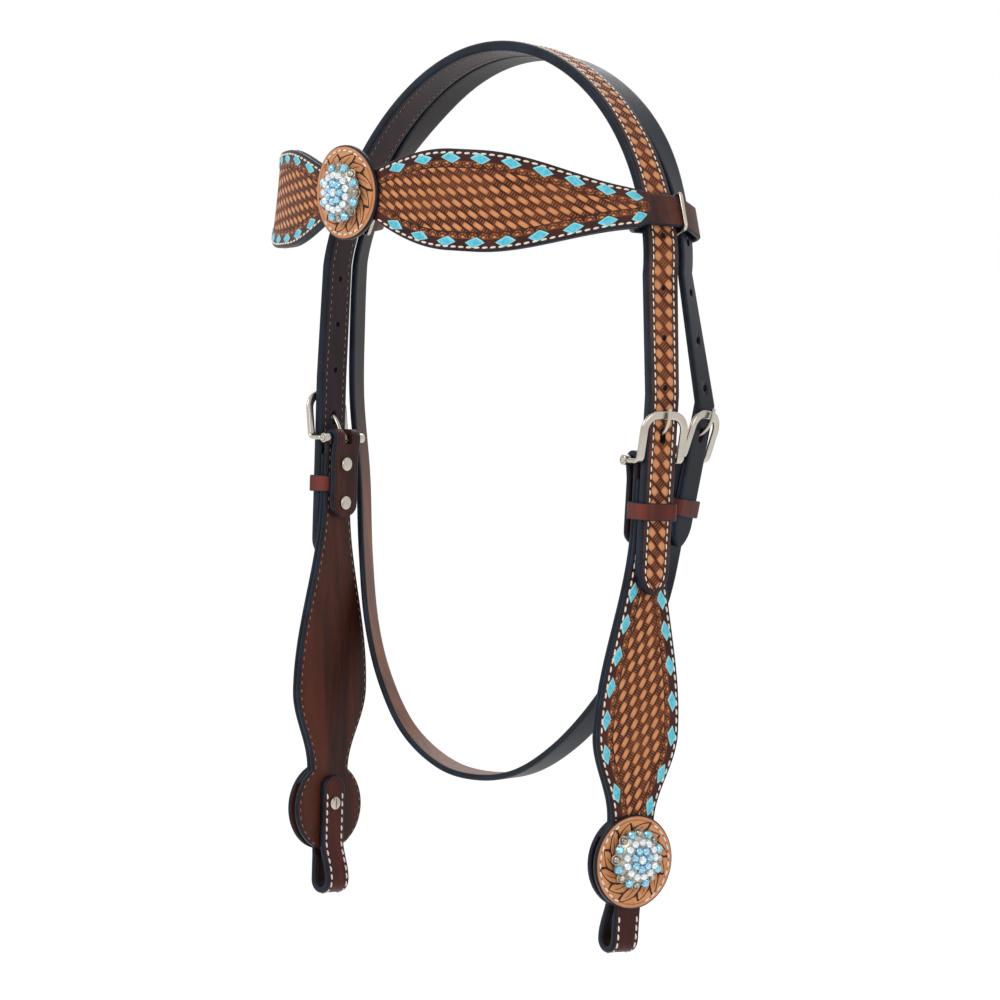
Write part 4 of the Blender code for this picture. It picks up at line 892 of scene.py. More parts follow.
class Strip:
    """A strap: places along it, each with a half width, and its two faces' levels."""

    def __init__(self, rows, low, high, start=0.0):
        self.places, self.halves = (list(part) for part in zip(*rows))
        self.low = low
        self.high = high
        self.runs = runs_along([place[0] for place in self.places], start)

    def place(self, run):
        """Point, across, outward and half width at a run."""
        index = min(max(bisect.bisect_right(self.runs, run) - 1, 0), len(self.runs) - 2)
        span = self.runs[index + 1] - self.runs[index]
        share = min(max((run - self.runs[index]) / span, 0), 1)
        mixed = [a.lerp(b, share) for a, b in zip(self.places[index], self.places[index + 1])]
        half = blend(self.halves[index], self.halves[index + 1], share)
        return mixed[0], mixed[1].normalized(), mixed[2].normalized(), half

    def row(self, sign, inset, start, end, outer=True):
        """Points, with outward directions, of a line beside one edge from start to end."""
        points = []
        steps = max(int((end - start) / ROW_STEP), 2)
        for run in spread(start, end, steps):
            point, across, outward, half = self.place(run)
            level = self.high if outer else self.low
            spot = point + across * (sign * (half - inset)) + outward * level
            points.append((spot, outward if outer else -outward))
        return points

    def round_end(self, half, length, count):
        """Round off the last places of the strap."""
        for index in range(-count, 0):
            share = min((self.runs[-1] - self.runs[index]) / length, 1)
            self.halves[index] = half * max(math.sqrt(max(1 - (1 - share) ** 2, 0)), 0.35)


def link(name, data):
    """A new object of the scene that holds some data."""
    item = bpy.data.objects.new(name, data)
    bpy.context.scene.collection.objects.link(item)
    return item


def new_object(name, mesh, material):
    """A new object of the scene with its mesh and material."""
    mesh.materials.append(material)
    return link(name, mesh)


def settle(item, body, *nodes, slot="tooled_tan_leather"):
    """Let a piece ride on its body and stand for its solids; its slot is not used."""
    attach(item, body)
    if nodes:
        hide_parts(*nodes)
    return item


def store(bm, name, turned_out=True):
    """A mesh made from a bmesh, its faces turned outward."""
    if turned_out:
        bmesh.ops.recalc_face_normals(bm, faces=bm.faces)
    mesh = bpy.data.meshes.new(name)
    bm.to_mesh(mesh)
    bm.free()
    return mesh


def bands(rows, turned=False):
    """Corners of each face between successive rings, where a ring of one point is a pole.

    A turned face goes round the other way from the same first corner.
    """
    for first, second in zip(rows, rows[1:]):
        for step in range(max(len(first), len(second))):
            low, high = ((row * 2)[step : step + 2] if len(row) > 1 else row for row in (first, second))
            corners = low + high[::-1]
            if len(corners) > 2:
                yield corners[:1] + corners[:0:-1] if turned else corners


def mapped_bmesh(*names):
    """A bmesh with UV maps."""
    bm = bmesh.new()
    for name in names:
        bm.loops.layers.uv.new(name)
    return bm


def add_mapped_face(bm, corners, smooth=True):
    """A face whose corners are a point followed by its place in each UV map."""
    layers = bm.loops.layers.uv.values()
    face = bm.faces.new([corner[0] for corner in corners])
    face.smooth = smooth
    for loop, corner in zip(face.loops, corners):
        for layer, place in zip(layers, corner[1:]):
            loop[layer].uv = place


def ring_outline(half, low, high, roundness, columns):
    """Points (side, level, layer) round a strap's cross-section."""
    corner = min(roundness, (high - low) / 2 * 0.98, half * 0.6)
    flat = half - corner
    outline = [(flat * share, high, 1.0) for share in spread(-1, 1, columns)]
    angles = spread(0, QUARTER_TURN, EDGE_STEPS, 1)
    outline += [(flat + corner * math.sin(a), high - corner + corner * math.cos(a), 0.5) for a in angles]
    outline.append((half, low + corner, 0.5))
    outline += [(flat + corner * math.cos(a), low + corner - corner * math.sin(a), 0.5) for a in angles[:-1]]
    outline += [(-flat * share, low, 0.0) for share in spread(-1, 1, columns)]
    edge = outline[columns + 1 : columns + 1 + 2 * EDGE_STEPS]
    return outline + [(-side, level, layer) for side, level, layer in reversed(edge)]


def skin_mesh(name, rows, closed=False):
    """Faces over rings of (point, place on the face map, place on the rim map)."""
    bm = mapped_bmesh("face", "rim")
    rows = [[(bm.verts.new(point), *places) for point, *places in row] for row in rows]
    if closed:
        lap = rows[-1][0][1][0] + MM
        rows.append([(point, (lap, face_place[1]), rim_place) for point, face_place, rim_place in rows[0]])
    for corners in bands(rows):
        add_mapped_face(bm, corners)
    if not closed:
        for row, order in ((rows[0], -1), (rows[-1], 1)):
            add_mapped_face(bm, [(corner[0], row[0][1], (0, 0.5)) for corner in row[::order]], False)
    return store(bm, name)


def ribbon(name, strip, material, roundness=STRAP_EDGE, columns=FACE_COLUMNS, closed=False, plies=None):
    """A strap's mesh with rounded edges, from one end of its strip to the other."""
    rows = []
    for index, (place, half, run) in enumerate(zip(strip.places, strip.halves, strip.runs)):
        point, across, outward = place
        low, high = plies[index] if plies else (strip.low, strip.high)
        row = []
        for side, level, layer in ring_outline(half, low, high, roundness, columns):
            spot = point + across * side + outward * level
            row.append((spot, (run, side), (half - abs(side), layer)))
        rows.append(row)
    return new_object(name, skin_mesh(name, rows, closed), material)


def disc(name, place_at, radius, low, high, material):
    """A round ply laid over a surface given by place_at(x, y, level)."""
    flat = radius - STRAP_EDGE
    levels = [(reach, high, 1.0) for reach in spread(0, flat, DISC_RINGS)]
    for angle in spread(0, QUARTER_TURN, EDGE_STEPS, 1):
        rise, out = polar(STRAP_EDGE, angle)
        levels.append((flat + out, high - STRAP_EDGE + rise, 0.5))
    levels.append((radius, low + DISC_FOOT_ROUND, 0.5))
    levels.append((radius - DISC_FOOT_ROUND * 1.5, low, 0.0))
    bm = mapped_bmesh("face", "rim")
    rows = []
    for reach, level, layer in levels:
        row = []
        for angle in fan(ROUND_STEPS if reach else 1):
            spot = polar(reach, angle)
            row.append((bm.verts.new(place_at(*spot, level)), spot, (radius - reach, layer)))
        rows.append(row)
    for corners in (*bands(rows, True), rows[-1][::-1]):
        add_mapped_face(bm, corners)
    return new_object(name, store(bm, name), material)


def lathe(name, profile, material, matrix, steps=32):
    """A piece turned from (radius, height) points about the matrix's Z axis."""
    bm = bmesh.new()
    add_lathe(bm, profile, matrix, steps)
    return new_object(name, store(bm, name, False), material)


def add_lathe(bm, profile, matrix, steps=32):
    """Add a turned shape to a bmesh."""
    rows = []
    for radius, height in profile:
        angles = fan(steps if radius > 0 else 1)
        rows.append([bm.verts.new(matrix @ Vector((*polar(radius, angle), height))) for angle in angles])
    faces = [bm.faces.new(corners) for corners in bands(rows, True)]
    for face in faces:
        face.smooth = True
    bmesh.ops.recalc_face_normals(bm, faces=faces)


def dome_profile(radius, base, rise, steps=8):
    """Points (radius, height) of a dome, from its rim to its pole."""
    profile = [(radius * math.cos(a), base + rise * math.sin(a)) for a in spread(0, QUARTER_TURN, steps)]
    return profile[:-1] + [(0, base + rise)]


def cut(item, *cutters):
    """Cut holes out of a piece, keep its maps, and remove the cutters."""
    for cutter in cutters:
        modifier = item.modifiers.new("cut", "BOOLEAN")
        modifier.object = cutter
        modifier.solver = "EXACT"
    graph = bpy.context.evaluated_depsgraph_get()
    old = item.data
    item.data = bpy.data.meshes.new_from_object(item.evaluated_get(graph), depsgraph=graph)
    item.modifiers.clear()
    bpy.data.meshes.remove(old)
    for cutter in cutters:
        bpy.data.objects.remove(cutter, do_unlink=True)


def cutter_prism(axes, low, high, outline, lift=0.0):
    """A cutter from an outline of (side, up) points between two outward levels, lifted at the outer one."""
    bm = bmesh.new()
    rows = []
    for out, rise in ((low, 0.0), (high, lift)):
        rows.append([bm.verts.new(axes @ Vector((out, side, up + rise))) for side, up in outline])
    for corners in (*bands(rows), rows[0][::-1], rows[1]):
        bm.faces.new(corners)
    item = bpy.data.objects.new("cutter", store(bm, "cutter"))
    bpy.context.scene.collection.objects.link(item)
    return item


def oval(width, low, high, steps=12):
    """An upright oval outline."""
    half = width / 2
    outline = []
    for centre, start in ((high - half, 0), (low + half, HALF_TURN)):
        for angle in spread(start, start + HALF_TURN, steps):
            side, up = polar(half, angle)
            outline.append((side, centre + up))
    return outline


def walk(points, pitch, lead):
    """Matrices every pitch along a row of (point, outward), X along it and Z outward."""
    marks = []
    distance = 0
    wanted = lead
    for (start, out_a), (end, out_b) in zip(points, points[1:]):
        span = (end - start).length
        while span and distance + span >= wanted:
            share = (wanted - distance) / span
            along = (end - start).normalized()
            outward = square_to(out_a.lerp(out_b, share), along)
            marks.append(standing_axes(start.lerp(end, share), along, outward.cross(along), outward))
            wanted += pitch
        distance += span
    return marks


def add_capsule(bm, matrix, length, radius):
    """A stitch: a short rounded thread that dips at both ends."""
    rows = []
    for share, swell in STITCH_SHAPE:
        lift = radius * (0.42 - 0.55 * share * share)
        row = []
        for angle in fan(STITCH_SIDES) if swell else [0]:
            y, z = polar(radius * swell, angle)
            row.append(bm.verts.new(matrix @ Vector((share * length / 2, y, z * 0.85 + lift))))
        rows.append(row)
    for corners in bands(rows):
        bm.faces.new(corners).smooth = True


def stitches(name, rows, body, material, length=STITCH_LENGTH, radius=STITCH_RADIUS, pitch=STITCH_PITCH):
    """One mesh of every stitch along some rows."""
    bm = bmesh.new()
    for row in rows:
        for mark in walk(row, pitch, pitch / 2):
            add_capsule(bm, mark @ Matrix.Rotation(STITCH_SLANT, 4, "Z"), length, radius)
    return settle(new_object(name, store(bm, name), material), body)


def add_lozenge(bm, matrix, length, width, height, base, skew):
    """A domed, slightly skewed diamond with rounded corners."""
    rows = []
    for scale, lift in LOZENGE_SHAPE:
        row = []
        for angle in fan(LOZENGE_SIDES):
            x, y = (
                math.copysign(abs(part) ** LACE_POINT, part) * size / 2 * scale
                for part, size in zip(polar(1, angle), (length, width))
            )
            spot = matrix @ Vector((x + y * skew, y, base + lift * height))
            row.append((bm.verts.new(spot), (1 - scale, 0)))
        rows.append(row)
    for corners in (*bands(rows), rows[0][::-1], rows[-1]):
        add_mapped_face(bm, corners)


def lace(name, marks, body, materials):
    """The lace's diamonds, and under each a larger dark diamond that is painted shadow round the lace and
    also stands for the slits at its ends.
    """
    for suffix, material, grow, height, base in (
        # Painted shadow: a flat dark diamond a little larger than each lace diamond, which also stands for
        # the slits where the lace goes through
        ("_painted_shadow_and_slits", materials[1], 1.22, 0.12 * MM, -0.08 * MM),
        ("_lace", materials[0], 1.0, 0.62 * MM, -0.05 * MM),
    ):
        bm = mapped_bmesh("rim")
        extra = (grow - 1) * LACE_WIDTH
        for mark, skew in marks:
            add_lozenge(bm, mark, LACE_LENGTH + extra * 1.4, LACE_WIDTH + extra, height, base, skew)
        settle(new_object(name + suffix, store(bm, name + suffix), material), body)


PANEL = panel_leather("panel_leather", 3.3 * MM)
CHEEK = panel_leather("cheek_leather", 3.7 * MM)
CROWN = crown_leather("crown_leather")
DISK = disk_leather("disk_leather")
MAHOGANY = plain_leather(
    "mahogany_lining",
    ((84, 40, 30), (44, 20, 16)),
    ((92, 44, 30), (38, 18, 16)),
    (STITCH_INSET, STITCH_INSET),
)
BIT_LEATHER = plain_leather(
    "bit_strap_leather",
    ((92, 36, 27), (48, 18, 15)),
    ((60, 28, 22), (28, 14, 13)),
    (BIT_STITCH_INSET, BIT_STITCH_INSET),
)
BROW_LINING = plain_leather(
    "browband_lining_leather",
    ((96, 52, 40), (46, 26, 26)),
    ((96, 50, 36), (48, 24, 20)),
    (None, STITCH_INSET),
)
THROAT_LEATHER = plain_leather(
    "throat_leather",
    ((15, 26, 42), (8, 14, 24)),
    ((34, 25, 28), (18, 15, 19)),
    low_inner=((140, 90, 64), (88, 54, 42)),
)
KEEPER_LEATHER = plain_leather("keeper_brown", ((122, 58, 44), (78, 34, 28)), ((80, 40, 30), (50, 24, 20)))
NICKEL = nickel_metal("nickel_plate")
PEWTER = speckled(
    "antique_pewter_cast",
    (420, 4, 0.6),
    (0.3, 0.7),
    (112, 105, 95),
    (198, 191, 179),
    (0.2, 0.2),
    0.03 * MM,
    Metallic=0.95,
)
THREAD = thread_cotton("waxed_thread", (226, 219, 200), (255, 252, 243), 0.06 * MM)
# Painted shade: a darker copy of the white thread, used for the stitches on the inner faces
THREAD_PAINTED_SHADE = thread_cotton("thread_painted_shade", (124, 102, 88), (182, 162, 142), 0.05 * MM)
LACE = (
    lace_leather("turquoise_lace"),
    # The second material is the painted shadow round the lace diamonds, which also stands for their slits
    speckled("lace_painted_shadow_and_slit", (400, 3, 0.6), None, (20, 14, 16), (44, 26, 24), (0.2, 0.5)),
)
# Each stone's colour, then the pale colour of its painted glints
CLEAR = crystal_glass("clear_crystal", (206, 214, 216), (250, 252, 252))
SKY = crystal_glass("sky_crystal", (96, 176, 214), (196, 232, 244))
TEAL = crystal_glass("teal_crystal", (76, 170, 204), (168, 224, 240))


def crown_side():
    """Places and half widths from the poll down to the near billet's tip."""
    half = STRAP_WIDTH / 2
    places = [crown_place(angle) for angle in spread(0, QUARTER_TURN, ARCH_STEPS)]
    places += between(places[-1], local_place(NEAR_FRAME, BILLET_IN, BILLET_RISE), BRIDGE_STEPS)
    rows = [(place, half) for place in places]
    shoulder = BILLET_POINT - BILLET_BELOW_BAR
    for up in spread(BILLET_RISE, shoulder, 30) + spread(shoulder, -BILLET_BELOW_BAR, 12, 1):
        rows.append((local_place(NEAR_FRAME, BILLET_IN, up), tip_half(up + BILLET_BELOW_BAR, half)))
    return rows


def mirror_place(place):
    """The same place on the other side of the middle plane, its strap run the other way."""
    return tuple(MIRROR_X.to_3x3() @ part for part in place)


def mirrored_rows(rows):
    """Rows of (place, half) on the other side of the middle plane, in the opposite order."""
    return [(mirror_place(place), half) for place, half in reversed(rows)]


def whole_strip(near, off, low, high):
    """A strip from the off end to the near end, its run measured from the middle."""
    start = mirrored_rows(off)[:-1]
    strip = Strip(start + near, low, high)
    middle = strip.runs[len(start)]
    strip.runs = [run - middle for run in strip.runs]
    return strip


def rear_route():
    """Places of the throat strap, from the near billet's tip over the poll to the turnback's end."""
    rises = spread(-THROAT_BILLET_BELOW_BAR, THROAT_BILLET_RISE, 40)
    places = [local_place(THROAT_FRAME, THROAT_BILLET_IN, rise, -1) for rise in rises]
    arch = []
    for share in spread(1, -1, 2 * ARCH_STEPS):
        point, across, outward = rear_place(QUARTER_TURN * share)
        arch.append((point, -across, outward))
    return places + between(places[-1], arch[0], BRIDGE_STEPS) + arch + throatlatch_places()


def throatlatch_places():
    """Places of the throatlatch from the off side's end of the crown to the near turnback."""
    fold = fold_places(THROAT_FRAME, TURNBACK_LENGTH, -1)
    last_span = (QUARTER_TURN - POLL_FLAT_ANGLE) / COARSE_ARCH_STEPS
    keys = []
    for angle in (QUARTER_TURN - last_span, QUARTER_TURN):
        point, across, _ = rear_place(-angle)
        keys.append((point, -across))
    for side, back, down, degrees in THROAT_ROUTE_SHARES:
        point = Vector((side * ARCH_HALF_SPAN, back * THROAT_BACK, -down * THROAT_DROP))
        keys.append((point, -back_direction(-math.radians(degrees))))
    keys += [place[:2] for place in fold[:2]]
    route = places_along(*(smooth_curve(part, THROAT_STEPS) for part in zip(*keys)))
    return route[1:-1] + fold


def throat_strip():
    """The throat strap and throatlatch as one strip."""
    half = THROAT_WIDTH / 2
    strip = Strip([(place, half) for place in rear_route()], 0, THROAT_PLY)
    strip.halves = [tip_half(run, half) for run in strip.runs]
    strip.round_end(half, 6 * MM, 6)
    return strip


def fold_slot(axes, ply):
    """A cutter for the tongue's slot in a strap folded over a bar."""
    reach = FOLD_RADIUS + ply + 2 * MM
    side = TONGUE_SLOT / 2
    low = -TONGUE_KNUCKLE - SEAT_GAP
    outline = [(side, low), (side, reach), (-side, reach), (-side, low)]
    return cutter_prism(axes, -reach, reach, outline)


def billet_slot(axes, low, high):
    """A cutter for the hole that a buckle tongue passes."""
    outline = oval(TONGUE_HOLE_WIDTH, TONGUE_HOLE_LOW + HOLE_TRIM, TONGUE_HOLE_HIGH - HOLE_LIFT)
    return cutter_prism(axes, low, high, outline, HOLE_LIFT)


def round_cutter(strip, run, radius):
    """A round cutter square through a strip."""
    point, across, outward, _ = strip.place(run)
    axes = standing_axes(point, outward, across, across.cross(outward))
    outline = [polar(radius, angle) for angle in fan(HOLE_SIDES)]
    return cutter_prism(axes, strip.low - MM, strip.high + MM, outline)


def dress_crown():
    """Crown strap, throatlatch, the poll's web, and their stitching."""
    rows = crown_side()
    strip = whole_strip(rows, rows, 0, BILLET_PLIES)
    strap = ribbon("crown_strap", strip, CROWN, CROWN_EDGE)
    cutters = [billet_slot(axes, BILLET_IN - MM, BILLET_OUT + MM) for axes in (NEAR_FRAME, OFF_FRAME)]
    hole_middle = (TONGUE_HOLE_LOW + TONGUE_HOLE_HIGH) / 2
    first = strip.runs[-1] - BILLET_BELOW_BAR - hole_middle
    for number in range(1, CROWN_HOLES + 1):
        for sign in (-1, 1):
            cutters.append(round_cutter(strip, sign * (first - HOLE_SPACING * number), CROWN_HOLE_RADIUS))
    cut(strap, *cutters)
    settle(strap, "headstall", "crown_tooled_ply", "crown_and_throatlatch")
    rear = throat_strip()
    latch = ribbon("throatlatch_strap", rear, THROAT_LEATHER, LATCH_EDGE)
    first = THROAT_BILLET_BELOW_BAR + hole_middle
    holes = [round_cutter(rear, first + HOLE_SPACING * n, HOLE_RADIUS) for n in range(1, THROAT_HOLES + 1)]
    slot = billet_slot(THROAT_FRAME, THROAT_BILLET_IN - SEAT_GAP / 2, THROAT_BILLET_OUT + MM)
    cut(latch, slot, fold_slot(THROAT_FRAME, THROAT_PLY), *holes)
    settle(latch, "headstall", "crown_and_throatlatch", slot="dark_leather")
    dress_web()
    dress_crown_stitches(strip)


def dress_web():
    """The ply that joins both straps over the poll."""
    rows = []
    for share in spread(-1, 1, 48):
        angle = WEB_END_ANGLE * share
        half = WEB_HALF * math.sqrt(max(1 - abs(share) ** 6, 0.1))
        rows.append((crown_place(angle, rear_edge(angle)[0]), half))
    strip = Strip(rows, WEB_INSET, LINING_PLY - WEB_INSET)
    web = ribbon("poll_web", strip, THROAT_LEATHER, WEB_EDGE, 4)
    settle(web, "headstall", "crown_and_throatlatch", slot="dark_leather")


def dress_crown_stitches(strip):
    """Two rows on each face of the crown strap."""
    for name, outer, lead, thread, length, radius in (
        ("crown_stitches", True, 4 * MM, THREAD, 2.9 * MM, 0.42 * MM),
        ("crown_lining_stitches", False, 6 * MM, THREAD_PAINTED_SHADE, 2.0 * MM, 0.26 * MM),
    ):
        end = strip.runs[-1] - lead
        rows = [strip.row(sign, CROWN_STITCH_INSET, -end, end, outer) for sign in (-1, 1)]
        stitches(name, rows, "headstall", thread, length, radius, CROWN_STITCH_PITCH)


def cheek_lining_strip(axes):
    """The lining from the disk's foot up, over the bar and down the turnback."""
    half = STRAP_WIDTH / 2
    rows = [(local_place(axes, LINING_IN, -drop, -1), wide) for drop, wide in reversed(panel_profile())]
    rows += [(place, half) for place in fold_places(axes, NARROW_LENGTH / 2, -1)]
    strip = Strip(rows, 0, LINING_PLY)
    strip.round_end(half, 7 * MM, 6)
    return strip


def overlay_strip(axes):
    """The tooled ply of a cheek piece, top to bottom, its run measured as drop."""
    profile = [(OVERLAY_TOP_DROP + OVERLAY_STEP * step, STRAP_WIDTH / 2) for step in range(5)]
    profile += [row for row in panel_profile() if row[0] < BIT_TOP_DROP - SEAT_GAP]
    rows = [(local_place(axes, OVERLAY_IN - OVERLAY_SINK, -drop), half) for drop, half in profile]
    return Strip(rows, 0, TOOLED_PLY + OVERLAY_SINK, OVERLAY_TOP_DROP)


def bit_strap_strip(axes):
    """The bit strap's middle line, and the levels of its faces at each station."""
    full, thin = BIT_PLY / 2, BIT_SKIVED_PLY / 2
    out_covered = LINING_OUT + SEAT_GAP + thin
    out_free = OVERLAY_OUT - full
    in_free = out_free - BIT_PLY - BIT_LOOP_DEPTH
    in_seated = LINING_IN - SEAT_GAP - full
    disk_foot = DISK_DROP + DISK_RADIUS
    radius = (out_free - in_free) / 2
    centre_drop = BIT_LOOP_DROP - full - radius
    keys = [(out_covered, BIT_TOP_DROP, thin), (out_covered, disk_foot + SEAT_GAP, thin)]
    for share in spread(0, 1, 5, 1):
        drop = disk_foot + blend(SEAT_GAP, BIT_SKIVE_LENGTH, share)
        keys.append((blend(out_covered, out_free, ease(share)), drop, blend(thin, full, ease(share))))
    for angle in spread(0, HALF_TURN, 24):
        out, down = polar(radius, angle)
        keys.append((in_free + radius + out, centre_drop + down, full))
    for share in spread(0, 1, 16, 1):
        out = blend(in_free, in_seated, ease(share))
        keys.append((out, blend(centre_drop, BIT_SETTLE_DROP, share), full))
    keys += [(in_seated, drop, full) for drop in BIT_TAIL_DROPS]
    points = [axes @ Vector((out, 0, -drop)) for out, drop, _ in keys]
    across = axes.to_3x3() @ Vector((0, 1, 0))
    half = BIT_STRAP_WIDTH / 2
    strip = Strip([(place, half) for place in places_along(points, [across] * len(points))], -full, full)
    strip.round_end(half, 7 * MM, 7)
    return strip, [(-ply, ply) for _, _, ply in keys]


def disk_place(axes):
    """Where a point of a cheek disk's round lies, X across and Y up."""

    def place(x, y, level):
        return axes @ Vector((level, x, y - DISK_DROP))

    return place


def lace_marks(strip, runs, sign, skew):
    """Matrices of lace diamonds beside one edge of a strip."""
    marks = []
    for run in runs:
        pair = strip.row(sign, LACE_INSET, run - MM, run + MM)
        marks.append((walk(pair, 4 * MM, (pair[-1][0] - pair[0][0]).length / 2)[0], skew * sign))
    return marks


def ring_rows(place, level, *arcs):
    """Rows of points on a round ply, for stitches, from and to angles in degrees."""
    rows = []
    for arc in arcs:
        points = []
        for angle in spread(*(math.radians(degrees) for degrees in arc), ARC_ROW_STEPS):
            x, y = polar(RING_STITCH_RADIUS, angle)
            point = place(x, y, level)
            points.append((point, (place(x, y, level + MM) - point).normalized()))
        rows.append(points)
    return rows


def dress_cheek(prefix, axes):
    """Every leather piece of one cheek with its stitching and lace."""
    lining = cheek_lining_strip(axes)
    back = ribbon(prefix + "_cheek_back", lining, MAHOGANY, LINING_EDGE)
    cut(back, fold_slot(axes, LINING_PLY))
    settle(back, "headstall", prefix + "_cheek_lining", slot="mahogany_leather")
    overlay = overlay_strip(axes)
    front = ribbon(prefix + "_cheek_front", overlay, CHEEK, TOOLED_EDGE)
    settle(front, "headstall", prefix + "_cheek_tooled_ply")
    place = disk_place(axes)
    disk = disc(prefix + "_cheek_round", place, DISK_RADIUS, DISK_IN - 0.2 * MM, DISK_OUT, DISK)
    settle(disk, "headstall", prefix + "_cheek_disk")
    strip, plies = bit_strap_strip(axes)
    bit = ribbon(prefix + "_bit_billet", strip, BIT_LEATHER, BIT_EDGE, plies=plies)
    settle(bit, "headstall", prefix + "_bit_strap", slot="mahogany_leather")
    dress_cheek_trim(prefix, overlay, lining, strip, place)


def dress_cheek_trim(prefix, overlay, lining, strip, place):
    """Stitches and lace of one cheek."""
    rows = [overlay.row(sign, STITCH_INSET, 11 * MM, overlay.runs[-1] - MM) for sign in (-1, 1)]
    rows += [strip.row(sign, BIT_STITCH_INSET, 40 * MM, strip.runs[-1] - 8 * MM) for sign in (-1, 1)]
    rows += ring_rows(place, DISK_OUT, (-70, 62), (118, 250))
    stitches(prefix + "_cheek_stitches", rows, "headstall", THREAD)
    inner = [lining.row(sign, STITCH_INSET, 3 * MM, lining.runs[-1] - 50 * MM, False) for sign in (-1, 1)]
    stitches(prefix + "_lining_stitches", inner, "headstall", THREAD_PAINTED_SHADE, *DIM_STITCH)
    marks = lace_marks(overlay, LACE_FRONT_DROPS, -1, LACE_SKEW)
    marks += lace_marks(overlay, LACE_BACK_DROPS, 1, LACE_SKEW)
    lace(prefix + "_cheek", marks, "headstall", LACE)


def loop_axes(side):
    """A point at a browband loop, then across, outward and up the run of the straps there."""
    point, across, outward = crown_place(side * LOOP_ANGLE)
    above = crown_place(side * (LOOP_ANGLE - LOOP_SPREAD))[0]
    below = crown_place(side * (LOOP_ANGLE + LOOP_SPREAD))[0]
    up = (above - below).normalized()
    across = square_to(across, up)
    return point, across, across.cross(up) * side, up


def brow_arc():
    """Points round the near half of the browband, with the run to each and the upward direction."""
    side_up = loop_axes(1)[3]
    levels = []
    for angle in spread(0, BROW_LAST_ANGLE, BROW_STEPS):
        level = Vector((BROW_HALF_SPAN * math.sin(angle), BROW_CENTRE - BROW_FRONT * math.cos(angle), 0))
        levels.append(level)
    runs = runs_along(levels)
    arc = []
    for run, level in zip(runs, levels):
        share = run / runs[-1]
        drop = Vector((0, 0, blend(BROW_FRONT_DROP, BROW_SIDE_DROP, share)))
        arc.append((run, level - drop, Vector((0, 0, 1)).lerp(side_up, share**BROW_LEAN_POWER)))
    return arc


def brow_half(run):
    """Half height of the browband at a run from its middle."""
    waist, widest, neck = BROW_WAIST_HEIGHT / 2, BROW_WIDEST_HEIGHT / 2, BROW_NECK_HEIGHT / 2
    if run < BROW_WIDE_START:
        share = max(run - BROW_WAIST_RUN, 0) / (BROW_WIDE_START - BROW_WAIST_RUN)
        return blend(waist, widest, math.sin(QUARTER_TURN * share))
    return blend(widest, neck, ease((run - BROW_WIDE_END) / (BROW_NECK_RUN - BROW_WIDE_END)))


def level_crossing(start, along, level):
    """Where a line from start, in the plane of a loop, comes to a level."""
    return start + along * (level - start.y) / along.y


def loop_keys(arc, side):
    """Points of a browband loop round both straps, back to the inside of the browband.

    They lie on the near side. The loop of the off side, given by its sign, is mirrored later.
    """
    point, across, outward, _ = loop_axes(1)
    rear = rear_place(side * LOOP_ANGLE)
    if side < 0:
        rear = mirror_place(rear)
    middle, along, over = (Vector((v.dot(across), v.dot(outward))) for v in (rear[0] - point, *rear[1:]))
    along.normalize()
    over.normalize()
    slack = LOOP_CLEARANCE + BROW_PLY / 2
    front = STRAP_WIDTH / 2 + LOOP_CLEARANCE
    out = BILLET_PLIES + slack
    corner = level_crossing(middle + over * (THROAT_PLY + slack), along, out)
    keys = [Vector((-front, out)), Vector((0, out)), corner]
    end = middle + along * (THROAT_WIDTH / 2 - LOOP_CLEARANCE) + over * THROAT_PLY / 2
    for angle in spread(QUARTER_TURN, -QUARTER_TURN, 16):
        reach, rise = polar(THROAT_PLY / 2 + slack, angle)
        keys.append(end + along * reach + over * rise)
    keys.append(level_crossing(middle - over * slack, along, -slack))
    keys += [Vector((0, -slack)), Vector((-front, -slack))]
    points = [point + across * key.x + outward * key.y for key in keys]
    tail = brow_tail(arc)
    start = points[-1]
    for share in spread(0, 1, 10, 1)[:-1]:
        sag = (tail[0] - start).dot(outward) * (ease(share) - share)
        points.append(start.lerp(tail[0], share) + outward * sag)
    return points + tail


def brow_tail(arc):
    """Points where a loop's end lies along the inside of the browband."""
    rows = arc[-BROW_STEPS // 7 - 1 :]
    places = places_along([row[1] for row in rows], [row[2] for row in rows])
    return [point - outward * (BROW_PLY + SEAT_GAP) for point, _, outward in reversed(places[:-1])]


def brow_rows(arc, side):
    """Places and half heights from the browband's middle round one loop, as on the near side."""
    loop = loop_keys(arc, side)
    points = [row[1] for row in arc] + loop
    ups = [row[2] for row in arc] + [loop_axes(1)[3]] * len(loop)
    places = places_along(points, ups)
    places[0] = (arc[0][1], Vector((0, 0, 1)), Vector((0, -1, 0)))
    halves = [brow_half(row[0]) for row in arc] + [LOOP_HEIGHT / 2] * len(loop)
    return list(zip(places, halves))


